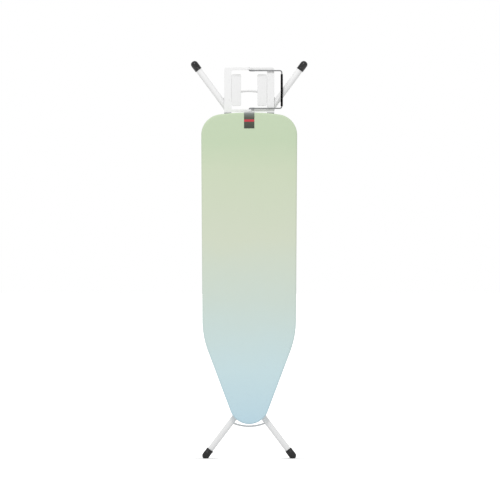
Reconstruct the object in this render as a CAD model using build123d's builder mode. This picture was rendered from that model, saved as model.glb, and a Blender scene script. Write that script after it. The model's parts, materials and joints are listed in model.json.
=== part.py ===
"""Folding ironing board, folded flat and upright: ironing face to -Y, wide end up, floor at Z = 0.

X runs across the board, Z along it, and depth is counted backwards (+Y) from the ironing face.
"""
import os
from math import cos, radians, sin, tan

from build123d import *

# Board outline, in mm
NOSE_HEIGHT = 138.0
BOARD_LENGTH = 1240.0
BOARD_WIDTH = 382.0
SHOULDER_WIDTH = 372.0
NOSE_RADIUS = 79.0
TAPER_ANGLE = 20.6
SHOULDER_RADIUS = 350.0
CORNER_RADIUS = 82.0
END_BOW = 21.0

# Board layers
COVER_CLOTH = 1.2
COVER_EDGE_ROUND = 7.0
HEM_WIDTH = 28.0
FOAM_THICKNESS = 6.0
PANEL_THICKNESS = 0.8
RIM_DEPTH = 16.0
RIM_WALL = 1.0
RIM_FLANGE = 26.5
PANEL_HOLE_RADIUS = 7.0
PANEL_HOLE_PITCH = 46.0
PANEL_HOLE_MARGIN = 34.0
LABEL_WIDTH = 41.0
LABEL_LENGTH = 64.0
LABEL_CLOTH = 0.6

# Cross members
MEMBER_WIDTH = 40.0
MEMBER_WALL = 1.2
MIDDLE_MEMBER_SETBACK = 52.0
REAR_MEMBER_SETBACK = 50.0
END_MEMBER_SETBACK = 60.0

# Leg frames
LEG_DIAMETER = 25.0
LEG_WALL = 1.0
FOOT_OVERHANG = 206.0
LEG_BEND_RADIUS = 60.0
LEG_BACK_CLEARANCE = 9.4
TUBE_OVERHANG = 12.0
HINGE_SETBACK = 266.0
OUTER_LEG_X = 84.0
OUTER_SPLAY_ANGLE = 36.5
OUTER_BEND_GAP = 11.0
INNER_LEG_X = 46.0
INNER_SPLAY_ANGLE = 37.2
INNER_BEND_SETBACK = 41.0
ARCH_DIAMETER = 8.0
OUTER_ARCH_STEP = 37.5
OUTER_ARCH_RISE = 37.9
INNER_ARCH_STEP = 34.5
INNER_ARCH_RISE = 16.5
CAP_DIAMETER = 31.0
CAP_LENGTH = 44.0
CAP_FLOOR_CUT = 3.0
CAP_TIP_FLAT = 1.5
CAP_SOCKET_END = 2.0
PLUG_HEAD = 2.0
PLUG_DEPTH = 6.0
PLUG_WALL = 2.0
PLUG_ROUND = 1.5

# Leg joints
HINGE_PIN_DIAMETER = 8.0
PIN_HEAD_DIAMETER = 13.0
PIN_HEAD_THICKNESS = 2.0
BRACKET_SHEET = 2.5
BRACKET_LENGTH = 40.0
EAR_LENGTH = 26.0
EAR_SIDE_GAP = 0.6
BOLT_DIAMETER = 6.0
BOLT_HEAD_DIAMETER = 14.0
BOLT_HEAD_THICKNESS = 4.2
BOLT_HEAD_ROUND = 2.5
NUT_WIDTH = 11.0
NUT_THICKNESS = 4.5
BOLT_END = 2.0
SPACER_DIAMETER = 16.0

# Height rails and latch
FULL_OPEN_ANGLE = 51.0
RAIL_GAP = 34.0
RAIL_SHEET = 2.5
RAIL_BACK_MARGIN = 1.0
RAIL_FOOT = 18.0
RAIL_FOOT_LENGTH = 36.0
SLIDER_DIAMETER = 10.0
SLIDER_END = 3.5
SLOT_CLEARANCE = 0.2
SLOT_END_ROOM = 4.0
BUSH_WALL = 3.0
LATCH_SETBACK = 33.0
LATCH_SHEET = 4.0
LATCH_DROP_ANGLE = 2.5
LATCH_HUB_DIAMETER = 13.0
LATCH_SPINE = 6.0
LATCH_LIFT_GAP = 0.6
LATCH_RELIEF = 3.9
LATCH_TOE = 16.0
NOTCH_CLEARANCE = 0.5
NOTCH_COUNT = 4
LOWEST_ANGLE = 36.0
LEVER_DIAMETER = 6.0
LEVER_CLEARANCE = 1.2
LEVER_BEND = 12.0
GRIP_HEM_GAP = 7.0
LEVER_DROP = 88.0
LEVER_END = 6.0
CLIP_DIAMETER = 12.0
CLIP_THICKNESS = 1.5
GRIP_DIAMETER = 12.0
GRIP_LENGTH = 62.0

# Leg saddles
SADDLE_WALL = 3.0
SADDLE_LENGTH = 24.0

# Iron rest
REST_CLEARANCE = 0.4
REST_SHEET = 3.0
REST_WIDTH = 199.0
REST_RAIL = 28.5
REST_OVERHANG = 180.0
REST_TOP_BAR = 11.0
REST_BOTTOM_BAR_GAP = 3.0
REST_BOTTOM_BAR = 10.0
REST_CORNER = 10.0
REST_WINDOW_CORNER = 5.0
REST_EDGE_ROUND = 1.0
REST_TAIL = 20.0
REST_WELD_PAD = 36.0
BUFFER_HEIGHT = 2.2
BUFFER_DEPTH = 3.5
PAD_WIDTH = 38.0
PAD_LENGTH = 127.0
PAD_RAISE = 13.0
PAD_CORNER = 7.0
PAD_SETBACK = 0.3
PAD_TONGUE = 17.0
PAD_TONGUE_LENGTH = 95.0
PAD_TONGUE_SHEET = 2.0
PAD_EDGE_ROUND = 1.0

# Iron stop bail
STOP_WIRE = 5.0
STOP_STANDOFF = 4.0
STOP_WIDTH = 129.5
STOP_LUG_GAP = 0.15
STOP_CORNER = 8.0
STOP_PIVOT_BEND = 4.0
STOP_PINTLE_END = 1.0
STOP_SLEEVE_DIAMETER = 9.0
STOP_SLEEVE_ROUND = 1.0
STOP_SLEEVE_BARE_END = 6.0
STOP_BUSH_DIAMETER = 6.4
STOP_BUSH_LENGTH = 17.0
LUG_WIDTH = 14.0
LUG_WALL = 1.7
LUG_HEIGHT = 8.0

# Fasteners and fits
RIVET_DIAMETER = 4.0
RIVET_HEAD_DIAMETER = 8.0
RIVET_HEAD = 1.4
RIVET_EDGE_ROOM = 1.5
FIT_GAP = 0.3
RUNNING_GAP = 0.06
WELD_GAP = 0.05

# Depth stations, counted backwards from the ironing face
FOAM_FRONT = COVER_CLOTH
PANEL_FRONT = FOAM_FRONT + FOAM_THICKNESS
RIM_FRONT = PANEL_FRONT + PANEL_THICKNESS
HEM_FRONT = RIM_FRONT + RIM_DEPTH
HEM_BACK = HEM_FRONT + COVER_CLOTH
MEMBER_BACK = HEM_FRONT - RIM_WALL
LEG_RADIUS = LEG_DIAMETER / 2
LEG_DEPTH = HEM_BACK + LEG_BACK_CLEARANCE + LEG_RADIUS
CAP_RADIUS = CAP_DIAMETER / 2
TOTAL_DEPTH = LEG_DEPTH + CAP_RADIUS
REST_FRONT = HEM_BACK + REST_CLEARANCE
REST_BACK = REST_FRONT + REST_SHEET
STOP_DEPTH = REST_FRONT - STOP_STANDOFF - STOP_WIRE / 2
LATCH_DEPTH = HEM_BACK + LEVER_CLEARANCE + LEVER_DIAMETER / 2
LATCH_TOOTH_BACK = LEG_DEPTH - SLIDER_DIAMETER / 2 - LATCH_LIFT_GAP
LATCH_RELIEF_BACK = LATCH_TOOTH_BACK - LATCH_RELIEF
RIM_INSET = COVER_CLOTH + FIT_GAP
RIM_INSIDE = RIM_INSET + RIM_WALL + FIT_GAP

# Places along the board
BOARD_END = NOSE_HEIGHT + BOARD_LENGTH
HINGE_Z = NOSE_HEIGHT + HINGE_SETBACK
OVERALL_HEIGHT = BOARD_END + FOOT_OVERHANG
LEG_LENGTH = OVERALL_HEIGHT - HINGE_Z
SLIDER_Z = LEG_LENGTH
PIVOT_Z = (HINGE_Z + SLIDER_Z) / 2
SLIDER_TRAVEL_ARM = SLIDER_Z - HINGE_Z
SLIDER_LOWEST_Z = HINGE_Z + SLIDER_TRAVEL_ARM * cos(radians(FULL_OPEN_ANGLE))
APEX_Z = NOSE_HEIGHT + NOSE_RADIUS - NOSE_RADIUS / sin(radians(TAPER_ANGLE))
SHOULDER_Z = APEX_Z + SHOULDER_WIDTH / 2 / tan(radians(TAPER_ANGLE))
CORNER_Z = BOARD_END - END_BOW
MIDDLE_MEMBER_Z = SLIDER_LOWEST_Z - MIDDLE_MEMBER_SETBACK
END_MEMBER_Z = BOARD_END - END_MEMBER_SETBACK
REAR_MEMBER_Z = END_MEMBER_Z - REAR_MEMBER_SETBACK
LATCH_Z = REAR_MEMBER_Z - LATCH_SETBACK
LEVER_X = BOARD_WIDTH / 2 - HEM_WIDTH - GRIP_HEM_GAP - GRIP_DIAMETER / 2
OUTER_BEND_Z = BOARD_END + OUTER_BEND_GAP
INNER_BEND_Z = NOSE_HEIGHT + INNER_BEND_SETBACK
OUTER_ARCH_Z = OUTER_BEND_Z + OUTER_ARCH_STEP
INNER_ARCH_Z = INNER_BEND_Z - INNER_ARCH_STEP
REST_TOP = BOARD_END + REST_OVERHANG
REST_BOTTOM_BAR_Z = BOARD_END + REST_BOTTOM_BAR_GAP
REST_WINDOW_LOW = REST_BOTTOM_BAR_Z + REST_BOTTOM_BAR
REST_WINDOW_HIGH = REST_TOP - REST_TOP_BAR
PAD_BOTTOM = REST_WINDOW_LOW + PAD_RAISE
TOP_LUG_Z = REST_TOP - REST_TOP_BAR / 2
BOTTOM_LUG_Z = REST_BOTTOM_BAR_Z + REST_BOTTOM_BAR / 2
STOP_TOP = TOP_LUG_Z - LUG_HEIGHT / 2 - STOP_LUG_GAP - STOP_PIVOT_BEND
STOP_BOTTOM = BOTTOM_LUG_Z + LUG_HEIGHT / 2 + STOP_LUG_GAP + STOP_PIVOT_BEND

SIDES = {"left": -1, "right": 1}


def back(depth):
    """Y of a station that lies this deep behind the ironing face."""
    return depth - TOTAL_DEPTH / 2


def layer(depth):
    """Plane across the board at a depth: local X is X, local Y is Z, and its normal faces the user."""
    return Plane.XZ.offset(-back(depth))


def keep(name, piece):
    """Label a finished piece and write it."""
    piece.part.label = name
    export_step(piece.part, f"parts/{name}.step")
    solids = piece.part.solids()
    print(f"{name}: {len(solids)} solid(s), {piece.part.volume / 1000:.1f} cm3")


def board_outline():
    """Outline of the covered board: round nose, straight taper, soft shoulders, bowed wide end."""
    half_end = BOARD_WIDTH / 2
    half_shoulder = SHOULDER_WIDTH / 2
    with BuildSketch() as outline:
        with BuildLine():
            Polyline((-half_end, CORNER_Z), (-half_shoulder, SHOULDER_Z), (0, APEX_Z))
            Polyline((0, APEX_Z), (half_shoulder, SHOULDER_Z), (half_end, CORNER_Z))
            ThreePointArc((half_end, CORNER_Z), (0, BOARD_END), (-half_end, CORNER_Z))
        make_face()
        fillet(outline.vertices().sort_by(Axis.Y)[0], radius=NOSE_RADIUS)
        fillet(outline.vertices().sort_by(Axis.Y)[-2:], radius=CORNER_RADIUS)
        fillet(outline.vertices().group_by(Axis.Y)[1], radius=SHOULDER_RADIUS)
    return outline.sketch


OUTLINE = board_outline()


def board_block(inset, front, rear, edge_round=0.0):
    """Solid of the board outline, drawn in by an inset, between two depths."""
    with BuildPart() as block:
        with BuildSketch(layer(rear)):
            add(OUTLINE)
            if inset > 0:
                offset(amount=-inset, mode=Mode.REPLACE)
        extrude(amount=rear - front)
        if edge_round > 0:
            fillet(block.edges().group_by(Axis.Y)[0], radius=edge_round)
    return block.part


def half_width(z):
    """Half the board's width at a height, nose and corners aside."""
    taper = (z - APEX_Z) * tan(radians(TAPER_ANGLE))
    share = (z - SHOULDER_Z) / (CORNER_Z - SHOULDER_Z)
    side = SHOULDER_WIDTH / 2 + share * (BOARD_WIDTH - SHOULDER_WIDTH) / 2
    return min(taper, side)


def rivet_group(points, grip_front, grip_back):
    """Rivets through sheets between two depths, with a head on each side."""
    with BuildPart() as rivets:
        with BuildSketch(layer(grip_back + RIVET_HEAD)):
            with Locations(*points):
                Circle(RIVET_HEAD_DIAMETER / 2)
        extrude(amount=RIVET_HEAD)
        with BuildSketch(layer(grip_back)):
            with Locations(*points):
                Circle(RIVET_DIAMETER / 2)
        extrude(amount=grip_back - grip_front)
        with BuildSketch(layer(grip_front)):
            with Locations(*points):
                Circle(RIVET_HEAD_DIAMETER / 2)
        extrude(amount=RIVET_HEAD)
    return rivets


def drill(points, front, rear, radius):
    """Cut round holes along Y into the active part."""
    with BuildSketch(layer(rear)) as holes:
        with Locations(*points):
            Circle(radius)
    extrude(holes.sketch, amount=rear - front, mode=Mode.SUBTRACT)


def bore_across(x_low, x_high, depth, z, radius):
    """Cut a round hole along X into the active part."""
    with BuildSketch(Plane.YZ.offset(x_low)) as hole:
        with Locations((back(depth), z)):
            Circle(radius)
    extrude(hole.sketch, amount=x_high - x_low, mode=Mode.SUBTRACT)


def ring_across(x_low, x_high, depth, z, outer_radius, inner_radius):
    """Add a round bar or ring along X to the active part."""
    with BuildSketch(Plane.YZ.offset(x_low)) as ring:
        with Locations((back(depth), z)):
            Circle(outer_radius)
            if inner_radius > 0:
                Circle(inner_radius, mode=Mode.SUBTRACT)
    extrude(ring.sketch, amount=x_high - x_low)


os.makedirs("parts", exist_ok=True)

RIVET_HOLE = RIVET_DIAMETER / 2 + WELD_GAP
PIN_HOLE = HINGE_PIN_DIAMETER / 2 + RUNNING_GAP
BOLT_HOLE = BOLT_DIAMETER / 2 + RUNNING_GAP

# Cover, label and underlay
label_low = BOARD_END - LABEL_LENGTH
cover_outside = board_block(0, 0, HEM_BACK, COVER_EDGE_ROUND)
label_bed = board_block(LABEL_CLOTH, LABEL_CLOTH, HEM_BACK, COVER_EDGE_ROUND - LABEL_CLOTH)
cover_inside = board_block(COVER_CLOTH, COVER_CLOTH, HEM_FRONT, COVER_EDGE_ROUND - COVER_CLOTH)
hem_opening = board_block(HEM_WIDTH, HEM_FRONT, HEM_BACK)

with BuildPart() as sewn_label:
    with BuildSketch(layer(HEM_BACK)):
        with Locations((0, (label_low + BOARD_END) / 2 + END_BOW)):
            Rectangle(LABEL_WIDTH, BOARD_END - label_low + 2 * END_BOW)
    extrude(amount=HEM_BACK)
    add(cover_outside, mode=Mode.INTERSECT)
    add(label_bed, mode=Mode.SUBTRACT)
keep("sewn_label", sewn_label)

with BuildPart() as cotton_cover:
    add(cover_outside)
    add(cover_inside, mode=Mode.SUBTRACT)
    add(hem_opening, mode=Mode.SUBTRACT)
    add(sewn_label.part, mode=Mode.SUBTRACT)
keep("cotton_cover", cotton_cover)

with BuildPart() as foam_underlay:
    add(board_block(RIM_INSET, FOAM_FRONT, PANEL_FRONT, COVER_EDGE_ROUND - COVER_CLOTH - FIT_GAP))
keep("foam_underlay", foam_underlay)

# Perforated panel: staggered rows of steam holes, kept clear of the edge
hole_points = []
row_pitch = PANEL_HOLE_PITCH * sin(radians(60))
row_count = int((BOARD_LENGTH - 2 * PANEL_HOLE_MARGIN) / row_pitch)
for row in range(row_count + 1):
    row_z = NOSE_HEIGHT + PANEL_HOLE_MARGIN + row * row_pitch
    reach = half_width(row_z) - PANEL_HOLE_MARGIN
    if row_z > BOARD_END - CORNER_RADIUS:
        reach -= PANEL_HOLE_MARGIN
    stagger = PANEL_HOLE_PITCH / 2 if row % 2 else 0.0
    columns = int(BOARD_WIDTH / PANEL_HOLE_PITCH)
    for column in range(-columns, columns + 1):
        hole_x = column * PANEL_HOLE_PITCH + stagger
        if abs(hole_x) < reach:
            hole_points.append((hole_x, row_z))

with BuildPart() as perforated_panel:
    with BuildSketch(layer(RIM_FRONT)):
        add(OUTLINE)
        offset(amount=-RIM_INSET, mode=Mode.REPLACE)
        with Locations(*hole_points):
            Circle(PANEL_HOLE_RADIUS, mode=Mode.SUBTRACT)
    extrude(amount=PANEL_THICKNESS)
keep("perforated_panel", perforated_panel)

with BuildPart() as rim_frame:
    add(board_block(RIM_INSET, RIM_FRONT, HEM_FRONT))
    add(board_block(RIM_INSET + RIM_WALL, RIM_FRONT, MEMBER_BACK), mode=Mode.SUBTRACT)
    add(board_block(RIM_INSET + RIM_WALL + RIM_FLANGE, MEMBER_BACK, HEM_FRONT), mode=Mode.SUBTRACT)
keep("rim_frame", rim_frame)

# Hole places in the cross members
REST_SCREW_X = (REST_WIDTH - REST_RAIL) / 2
rail_foot_x = RAIL_GAP / 2 + RAIL_SHEET + RAIL_FOOT / 2
saddle_points = [(side * OUTER_LEG_X, REAR_MEMBER_Z) for side in SIDES.values()]
rear_rail_points = [(side * rail_foot_x, REAR_MEMBER_Z) for side in SIDES.values()]
middle_rail_points = [(side * rail_foot_x, MIDDLE_MEMBER_Z) for side in SIDES.values()]
rest_points = [(side * REST_SCREW_X, END_MEMBER_Z) for side in SIDES.values()]
bracket_rivet_step = MEMBER_WIDTH / 2 - MEMBER_WALL - RIVET_HEAD_DIAMETER / 2 - RIVET_EDGE_ROOM
bracket_points = [
    (side * OUTER_LEG_X, HINGE_Z + step)
    for side in SIDES.values()
    for step in (-bracket_rivet_step, bracket_rivet_step)
]
member_inside = board_block(RIM_INSIDE, RIM_FRONT, MEMBER_BACK)


def cross_member(z, holes):
    """Folded channel across the board, open towards the panel, its ends cut to the rim's line."""
    with BuildPart() as member:
        with BuildSketch(Plane.YZ.offset(-BOARD_WIDTH / 2)):
            with Locations((back((RIM_FRONT + MEMBER_BACK) / 2), z)):
                Rectangle(MEMBER_BACK - RIM_FRONT, MEMBER_WIDTH)
            with Locations((back((RIM_FRONT + MEMBER_BACK - MEMBER_WALL) / 2), z)):
                Rectangle(MEMBER_BACK - RIM_FRONT - MEMBER_WALL, MEMBER_WIDTH - 2 * MEMBER_WALL,
                          mode=Mode.SUBTRACT)
        extrude(amount=BOARD_WIDTH)
        add(member_inside, mode=Mode.INTERSECT)
        drill(holes, RIM_FRONT, MEMBER_BACK, RIVET_HOLE)
    return member


member_holes = {
    "nose": (HINGE_Z, bracket_points),
    "middle": (MIDDLE_MEMBER_Z, middle_rail_points),
    "rear": (REAR_MEMBER_Z, saddle_points + rear_rail_points),
    "end": (END_MEMBER_Z, rest_points),
}
for place, (member_z, holes) in member_holes.items():
    keep(f"cross_member_{place}", cross_member(member_z, holes))

# Leg hinge brackets, their pins and rivets
ear_inner = LEG_RADIUS + EAR_SIDE_GAP
ear_outer = ear_inner + BRACKET_SHEET


def hinge_bracket(side):
    """U bracket whose two ears carry the pin at the end of an outer leg tube."""
    centre = side * OUTER_LEG_X
    base_back = MEMBER_BACK + BRACKET_SHEET
    with BuildPart() as bracket:
        with BuildSketch(layer(base_back)):
            with Locations((centre, HINGE_Z)):
                RectangleRounded(2 * ear_outer, BRACKET_LENGTH, BRACKET_SHEET)
        extrude(amount=BRACKET_SHEET)
        for ear_low in (centre - ear_outer, centre + ear_inner):
            with BuildSketch(Plane.YZ.offset(ear_low)):
                with Locations((back((MEMBER_BACK + LEG_DEPTH) / 2), HINGE_Z)):
                    Rectangle(LEG_DEPTH - MEMBER_BACK, EAR_LENGTH)
                with Locations((back(LEG_DEPTH), HINGE_Z)):
                    Circle(EAR_LENGTH / 2)
            extrude(amount=BRACKET_SHEET)
        bore_across(centre - ear_outer, centre + ear_outer, LEG_DEPTH, HINGE_Z, PIN_HOLE)
        drill([(centre, HINGE_Z - bracket_rivet_step), (centre, HINGE_Z + bracket_rivet_step)],
              MEMBER_BACK, base_back, RIVET_HOLE)
    return bracket


for side_name, side in SIDES.items():
    keep(f"leg_hinge_bracket_{side_name}", hinge_bracket(side))

with BuildPart() as leg_hinge_pins:
    for side in SIDES.values():
        pin_low = side * OUTER_LEG_X - ear_outer
        pin_high = side * OUTER_LEG_X + ear_outer
        ring_across(pin_low, pin_high, LEG_DEPTH, HINGE_Z, HINGE_PIN_DIAMETER / 2, 0)
        ring_across(pin_low - PIN_HEAD_THICKNESS, pin_low, LEG_DEPTH, HINGE_Z, PIN_HEAD_DIAMETER / 2, 0)
        ring_across(pin_high, pin_high + PIN_HEAD_THICKNESS, LEG_DEPTH, HINGE_Z, PIN_HEAD_DIAMETER / 2, 0)
keep("leg_hinge_pins", leg_hinge_pins)

bracket_rivets = rivet_group(bracket_points, MEMBER_BACK - MEMBER_WALL, MEMBER_BACK + BRACKET_SHEET)
keep("bracket_rivets", bracket_rivets)

# Height rails: slotted strips that guide the slider bar along the board
rail_low = MIDDLE_MEMBER_Z - RAIL_FOOT_LENGTH / 2
rail_high = REAR_MEMBER_Z + RAIL_FOOT_LENGTH / 2
rail_back = LEG_DEPTH + LEG_RADIUS + RAIL_BACK_MARGIN
slot_low = SLIDER_LOWEST_Z - SLOT_END_ROOM
slot_high = SLIDER_Z + SLOT_END_ROOM
SLOT_RADIUS = SLIDER_DIAMETER / 2 + SLOT_CLEARANCE
LEVER_HOLE = LEVER_DIAMETER / 2 + RUNNING_GAP


def height_rail(side):
    """One slotted strip with a foot riveted to the middle and the rear cross member."""
    inner = RAIL_GAP / 2
    strip_low = inner if side > 0 else -inner - RAIL_SHEET
    foot_x = side * rail_foot_x
    with BuildPart() as rail:
        with BuildSketch(Plane.YZ.offset(strip_low)):
            with Locations((back((MEMBER_BACK + rail_back) / 2), (rail_low + rail_high) / 2)):
                Rectangle(rail_back - MEMBER_BACK, rail_high - rail_low)
            with Locations((back(LEG_DEPTH), (slot_low + slot_high) / 2)):
                SlotCenterToCenter(slot_high - slot_low, 2 * SLOT_RADIUS, rotation=90,
                                   mode=Mode.SUBTRACT)
            with Locations((back(LATCH_DEPTH), LATCH_Z)):
                Circle(LEVER_HOLE, mode=Mode.SUBTRACT)
        extrude(amount=RAIL_SHEET)
        for foot_z in (MIDDLE_MEMBER_Z, REAR_MEMBER_Z):
            with BuildSketch(layer(MEMBER_BACK + RAIL_SHEET)):
                with Locations((foot_x, foot_z)):
                    Rectangle(RAIL_FOOT, RAIL_FOOT_LENGTH)
            extrude(amount=RAIL_SHEET)
            drill([(foot_x, foot_z)], MEMBER_BACK, MEMBER_BACK + RAIL_SHEET, RIVET_HOLE)
    return rail


for side_name, side in SIDES.items():
    keep(f"height_rail_{side_name}", height_rail(side))

rail_rivets = rivet_group(middle_rail_points + rear_rail_points, MEMBER_BACK - MEMBER_WALL,
                          MEMBER_BACK + RAIL_SHEET)
keep("rail_rivets", rail_rivets)


# Saddles that hold the folded outer legs
def leg_saddle(side):
    """Plastic cradle: half round seat for a leg tube, open backwards."""
    seat = LEG_RADIUS + FIT_GAP
    width = 2 * (seat + SADDLE_WALL)
    centre = side * OUTER_LEG_X
    with BuildPart() as saddle:
        with BuildSketch(Plane.XY.offset(REAR_MEMBER_Z - SADDLE_LENGTH / 2)):
            with Locations((centre, back((MEMBER_BACK + LEG_DEPTH) / 2))):
                Rectangle(width, LEG_DEPTH - MEMBER_BACK)
            with Locations((centre, back(LEG_DEPTH))):
                Circle(seat, mode=Mode.SUBTRACT)
        extrude(amount=SADDLE_LENGTH)
        drill([(centre, REAR_MEMBER_Z)], MEMBER_BACK, LEG_DEPTH, RIVET_HOLE)
        drill([(centre, REAR_MEMBER_Z)], LEG_DEPTH - seat - 2 * RIVET_HEAD, LEG_DEPTH,
              RIVET_HEAD_DIAMETER / 2 + FIT_GAP)
    return saddle


for side_name, side in SIDES.items():
    keep(f"leg_saddle_{side_name}", leg_saddle(side))

saddle_screws = rivet_group(saddle_points, MEMBER_BACK - MEMBER_WALL,
                            LEG_DEPTH - LEG_RADIUS - FIT_GAP - 2 * RIVET_HEAD)
keep("saddle_screws", saddle_screws)

# Iron rest: flat frame that runs out behind the cover's edge
rest_low = END_MEMBER_Z - REST_TAIL
rest_middle = (rest_low + REST_TOP) / 2
window_width = REST_WIDTH - 2 * REST_RAIL
pad_outer_x = window_width / 2 - FIT_GAP
pad_middle_x = pad_outer_x - PAD_WIDTH / 2
pad_middle_z = PAD_BOTTOM + PAD_LENGTH / 2
pad_rivet_x = window_width / 2 + PAD_TONGUE / 2
pad_rivet_step = PAD_TONGUE_LENGTH / 2 - RIVET_HEAD_DIAMETER
pad_rivet_points = [
    (side * pad_rivet_x, pad_middle_z + step)
    for side in SIDES.values()
    for step in (-pad_rivet_step, pad_rivet_step)
]

with BuildPart() as iron_rest_frame:
    with BuildSketch(layer(REST_BACK)) as rest_face:
        with Locations((0, rest_middle)):
            Rectangle(REST_WIDTH, REST_TOP - rest_low)
        fillet(rest_face.vertices().group_by(Axis.Y)[-1], radius=REST_CORNER)
        fillet(rest_face.vertices().group_by(Axis.Y)[0], radius=REST_WINDOW_CORNER)
        with Locations((0, (REST_WINDOW_LOW + REST_WINDOW_HIGH) / 2)):
            RectangleRounded(window_width, REST_WINDOW_HIGH - REST_WINDOW_LOW, REST_WINDOW_CORNER,
                             mode=Mode.SUBTRACT)
        with Locations((0, (rest_low + REST_BOTTOM_BAR_Z) / 2)):
            Rectangle(window_width, REST_BOTTOM_BAR_Z - rest_low, mode=Mode.SUBTRACT)
    extrude(amount=REST_SHEET)
    fillet(iron_rest_frame.edges().group_by(Axis.Y)[0], radius=REST_EDGE_ROUND)
    for side in SIDES.values():
        with BuildSketch(layer(REST_FRONT + REST_EDGE_ROUND)):
            with Locations((side * REST_SCREW_X, END_MEMBER_Z)):
                Rectangle(REST_RAIL - 4 * REST_EDGE_ROUND, REST_WELD_PAD)
        extrude(amount=REST_FRONT + REST_EDGE_ROUND - MEMBER_BACK)
    drill(rest_points, MEMBER_BACK, REST_BACK, RIVET_HOLE)
    drill(pad_rivet_points, REST_FRONT, REST_BACK, RIVET_HOLE)
keep("iron_rest_frame", iron_rest_frame)

# Rubber strips on the rest's rails, cut below to the cover's edge from behind which the rails come out
buffer_top = BOARD_END - END_BOW * (window_width / BOARD_WIDTH) ** 2 + FIT_GAP + BUFFER_HEIGHT
with BuildPart() as rail_buffers:
    for side in SIDES.values():
        with BuildSketch(layer(REST_FRONT - WELD_GAP)):
            with Locations((side * REST_SCREW_X, (CORNER_Z + buffer_top) / 2)):
                Rectangle(REST_RAIL, buffer_top - CORNER_Z)
            offset(OUTLINE, amount=FIT_GAP, mode=Mode.SUBTRACT)
        extrude(amount=BUFFER_DEPTH)
keep("rail_buffers", rail_buffers)

iron_rest_screws = rivet_group(rest_points, MEMBER_BACK - MEMBER_WALL, REST_BACK)
keep("iron_rest_screws", iron_rest_screws)


def iron_rest_pad(side):
    """Heat-proof pad beside a rail, held by a tongue on the back of that rail."""
    with BuildPart() as pad:
        with BuildSketch(layer(REST_BACK)):
            with Locations((side * pad_middle_x, pad_middle_z)):
                RectangleRounded(PAD_WIDTH, PAD_LENGTH, PAD_CORNER)
        extrude(amount=REST_SHEET - PAD_SETBACK)
        fillet(pad.edges().group_by(Axis.Y)[0], radius=PAD_EDGE_ROUND)
        tongue_inner = pad_outer_x - PAD_WIDTH / 2
        tongue_outer = window_width / 2 + PAD_TONGUE
        with BuildSketch(layer(REST_BACK + PAD_TONGUE_SHEET)):
            with Locations((side * (tongue_inner + tongue_outer) / 2, pad_middle_z)):
                Rectangle(tongue_outer - tongue_inner, PAD_TONGUE_LENGTH)
        extrude(amount=PAD_TONGUE_SHEET)
        drill([p for p in pad_rivet_points if p[0] * side > 0], REST_BACK,
              REST_BACK + PAD_TONGUE_SHEET, RIVET_HOLE)
    return pad


for side_name, side in SIDES.items():
    keep(f"iron_rest_pad_{side_name}", iron_rest_pad(side))

with BuildPart() as pad_rivets:
    with BuildSketch(layer(REST_BACK + PAD_TONGUE_SHEET + RIVET_HEAD)):
        with Locations(*pad_rivet_points):
            Circle(RIVET_HEAD_DIAMETER / 2)
    extrude(amount=RIVET_HEAD)
    with BuildSketch(layer(REST_BACK + PAD_TONGUE_SHEET)):
        with Locations(*pad_rivet_points):
            Circle(RIVET_DIAMETER / 2)
    extrude(amount=PAD_TONGUE_SHEET + REST_SHEET)
keep("pad_rivets", pad_rivets)

# Iron stop: wire bail that swings over the rest about two lugs
STOP_RADIUS = STOP_WIRE / 2
LUG_BORE = STOP_RADIUS + RUNNING_GAP
lug_front = STOP_DEPTH - LUG_BORE - LUG_WALL

with BuildPart() as iron_stop_lugs:
    for lug_z in (BOTTOM_LUG_Z, TOP_LUG_Z):
        with BuildSketch(Plane.XY.offset(lug_z - LUG_HEIGHT / 2)):
            with Locations((0, back((lug_front + REST_FRONT) / 2))):
                Rectangle(LUG_WIDTH, REST_FRONT - lug_front)
            with Locations((0, back(STOP_DEPTH))):
                Circle(LUG_BORE, mode=Mode.SUBTRACT)
        extrude(amount=LUG_HEIGHT)
keep("iron_stop_lugs", iron_stop_lugs)

stop_y = back(STOP_DEPTH)
pintle_top = TOP_LUG_Z + LUG_HEIGHT / 2 + STOP_PINTLE_END
pintle_bottom = BOTTOM_LUG_Z - LUG_HEIGHT / 2 - STOP_PINTLE_END
stop_path_points = [
    (0, stop_y, pintle_top),
    (0, stop_y, STOP_TOP),
    (STOP_WIDTH, stop_y, STOP_TOP),
    (STOP_WIDTH, stop_y, STOP_BOTTOM),
    (0, stop_y, STOP_BOTTOM),
    (0, stop_y, pintle_bottom),
]
with BuildPart() as iron_stop_wire:
    with BuildLine():
        FilletPolyline(*stop_path_points,
                       radius=[STOP_PIVOT_BEND, STOP_CORNER, STOP_CORNER, STOP_PIVOT_BEND])
    with BuildSketch(Plane(origin=stop_path_points[0], x_dir=(1, 0, 0), z_dir=(0, 0, -1))):
        Circle(STOP_RADIUS)
    sweep()
keep("iron_stop_wire", iron_stop_wire)

with BuildPart() as iron_stop_sleeve:
    sleeve_low = STOP_BOTTOM + STOP_CORNER + FIT_GAP
    sleeve_high = STOP_TOP - STOP_CORNER - STOP_SLEEVE_BARE_END
    with BuildSketch(Plane.XY.offset(sleeve_low)):
        with Locations((STOP_WIDTH, stop_y)):
            Circle(STOP_SLEEVE_DIAMETER / 2)
            Circle(STOP_RADIUS + WELD_GAP, mode=Mode.SUBTRACT)
    extrude(amount=sleeve_high - sleeve_low)
    sleeve_rings = iron_stop_sleeve.edges().filter_by(GeomType.CIRCLE)
    fillet(sleeve_rings.group_by(SortBy.RADIUS)[-1], radius=STOP_SLEEVE_ROUND)
keep("iron_stop_sleeve", iron_stop_sleeve)

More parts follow.
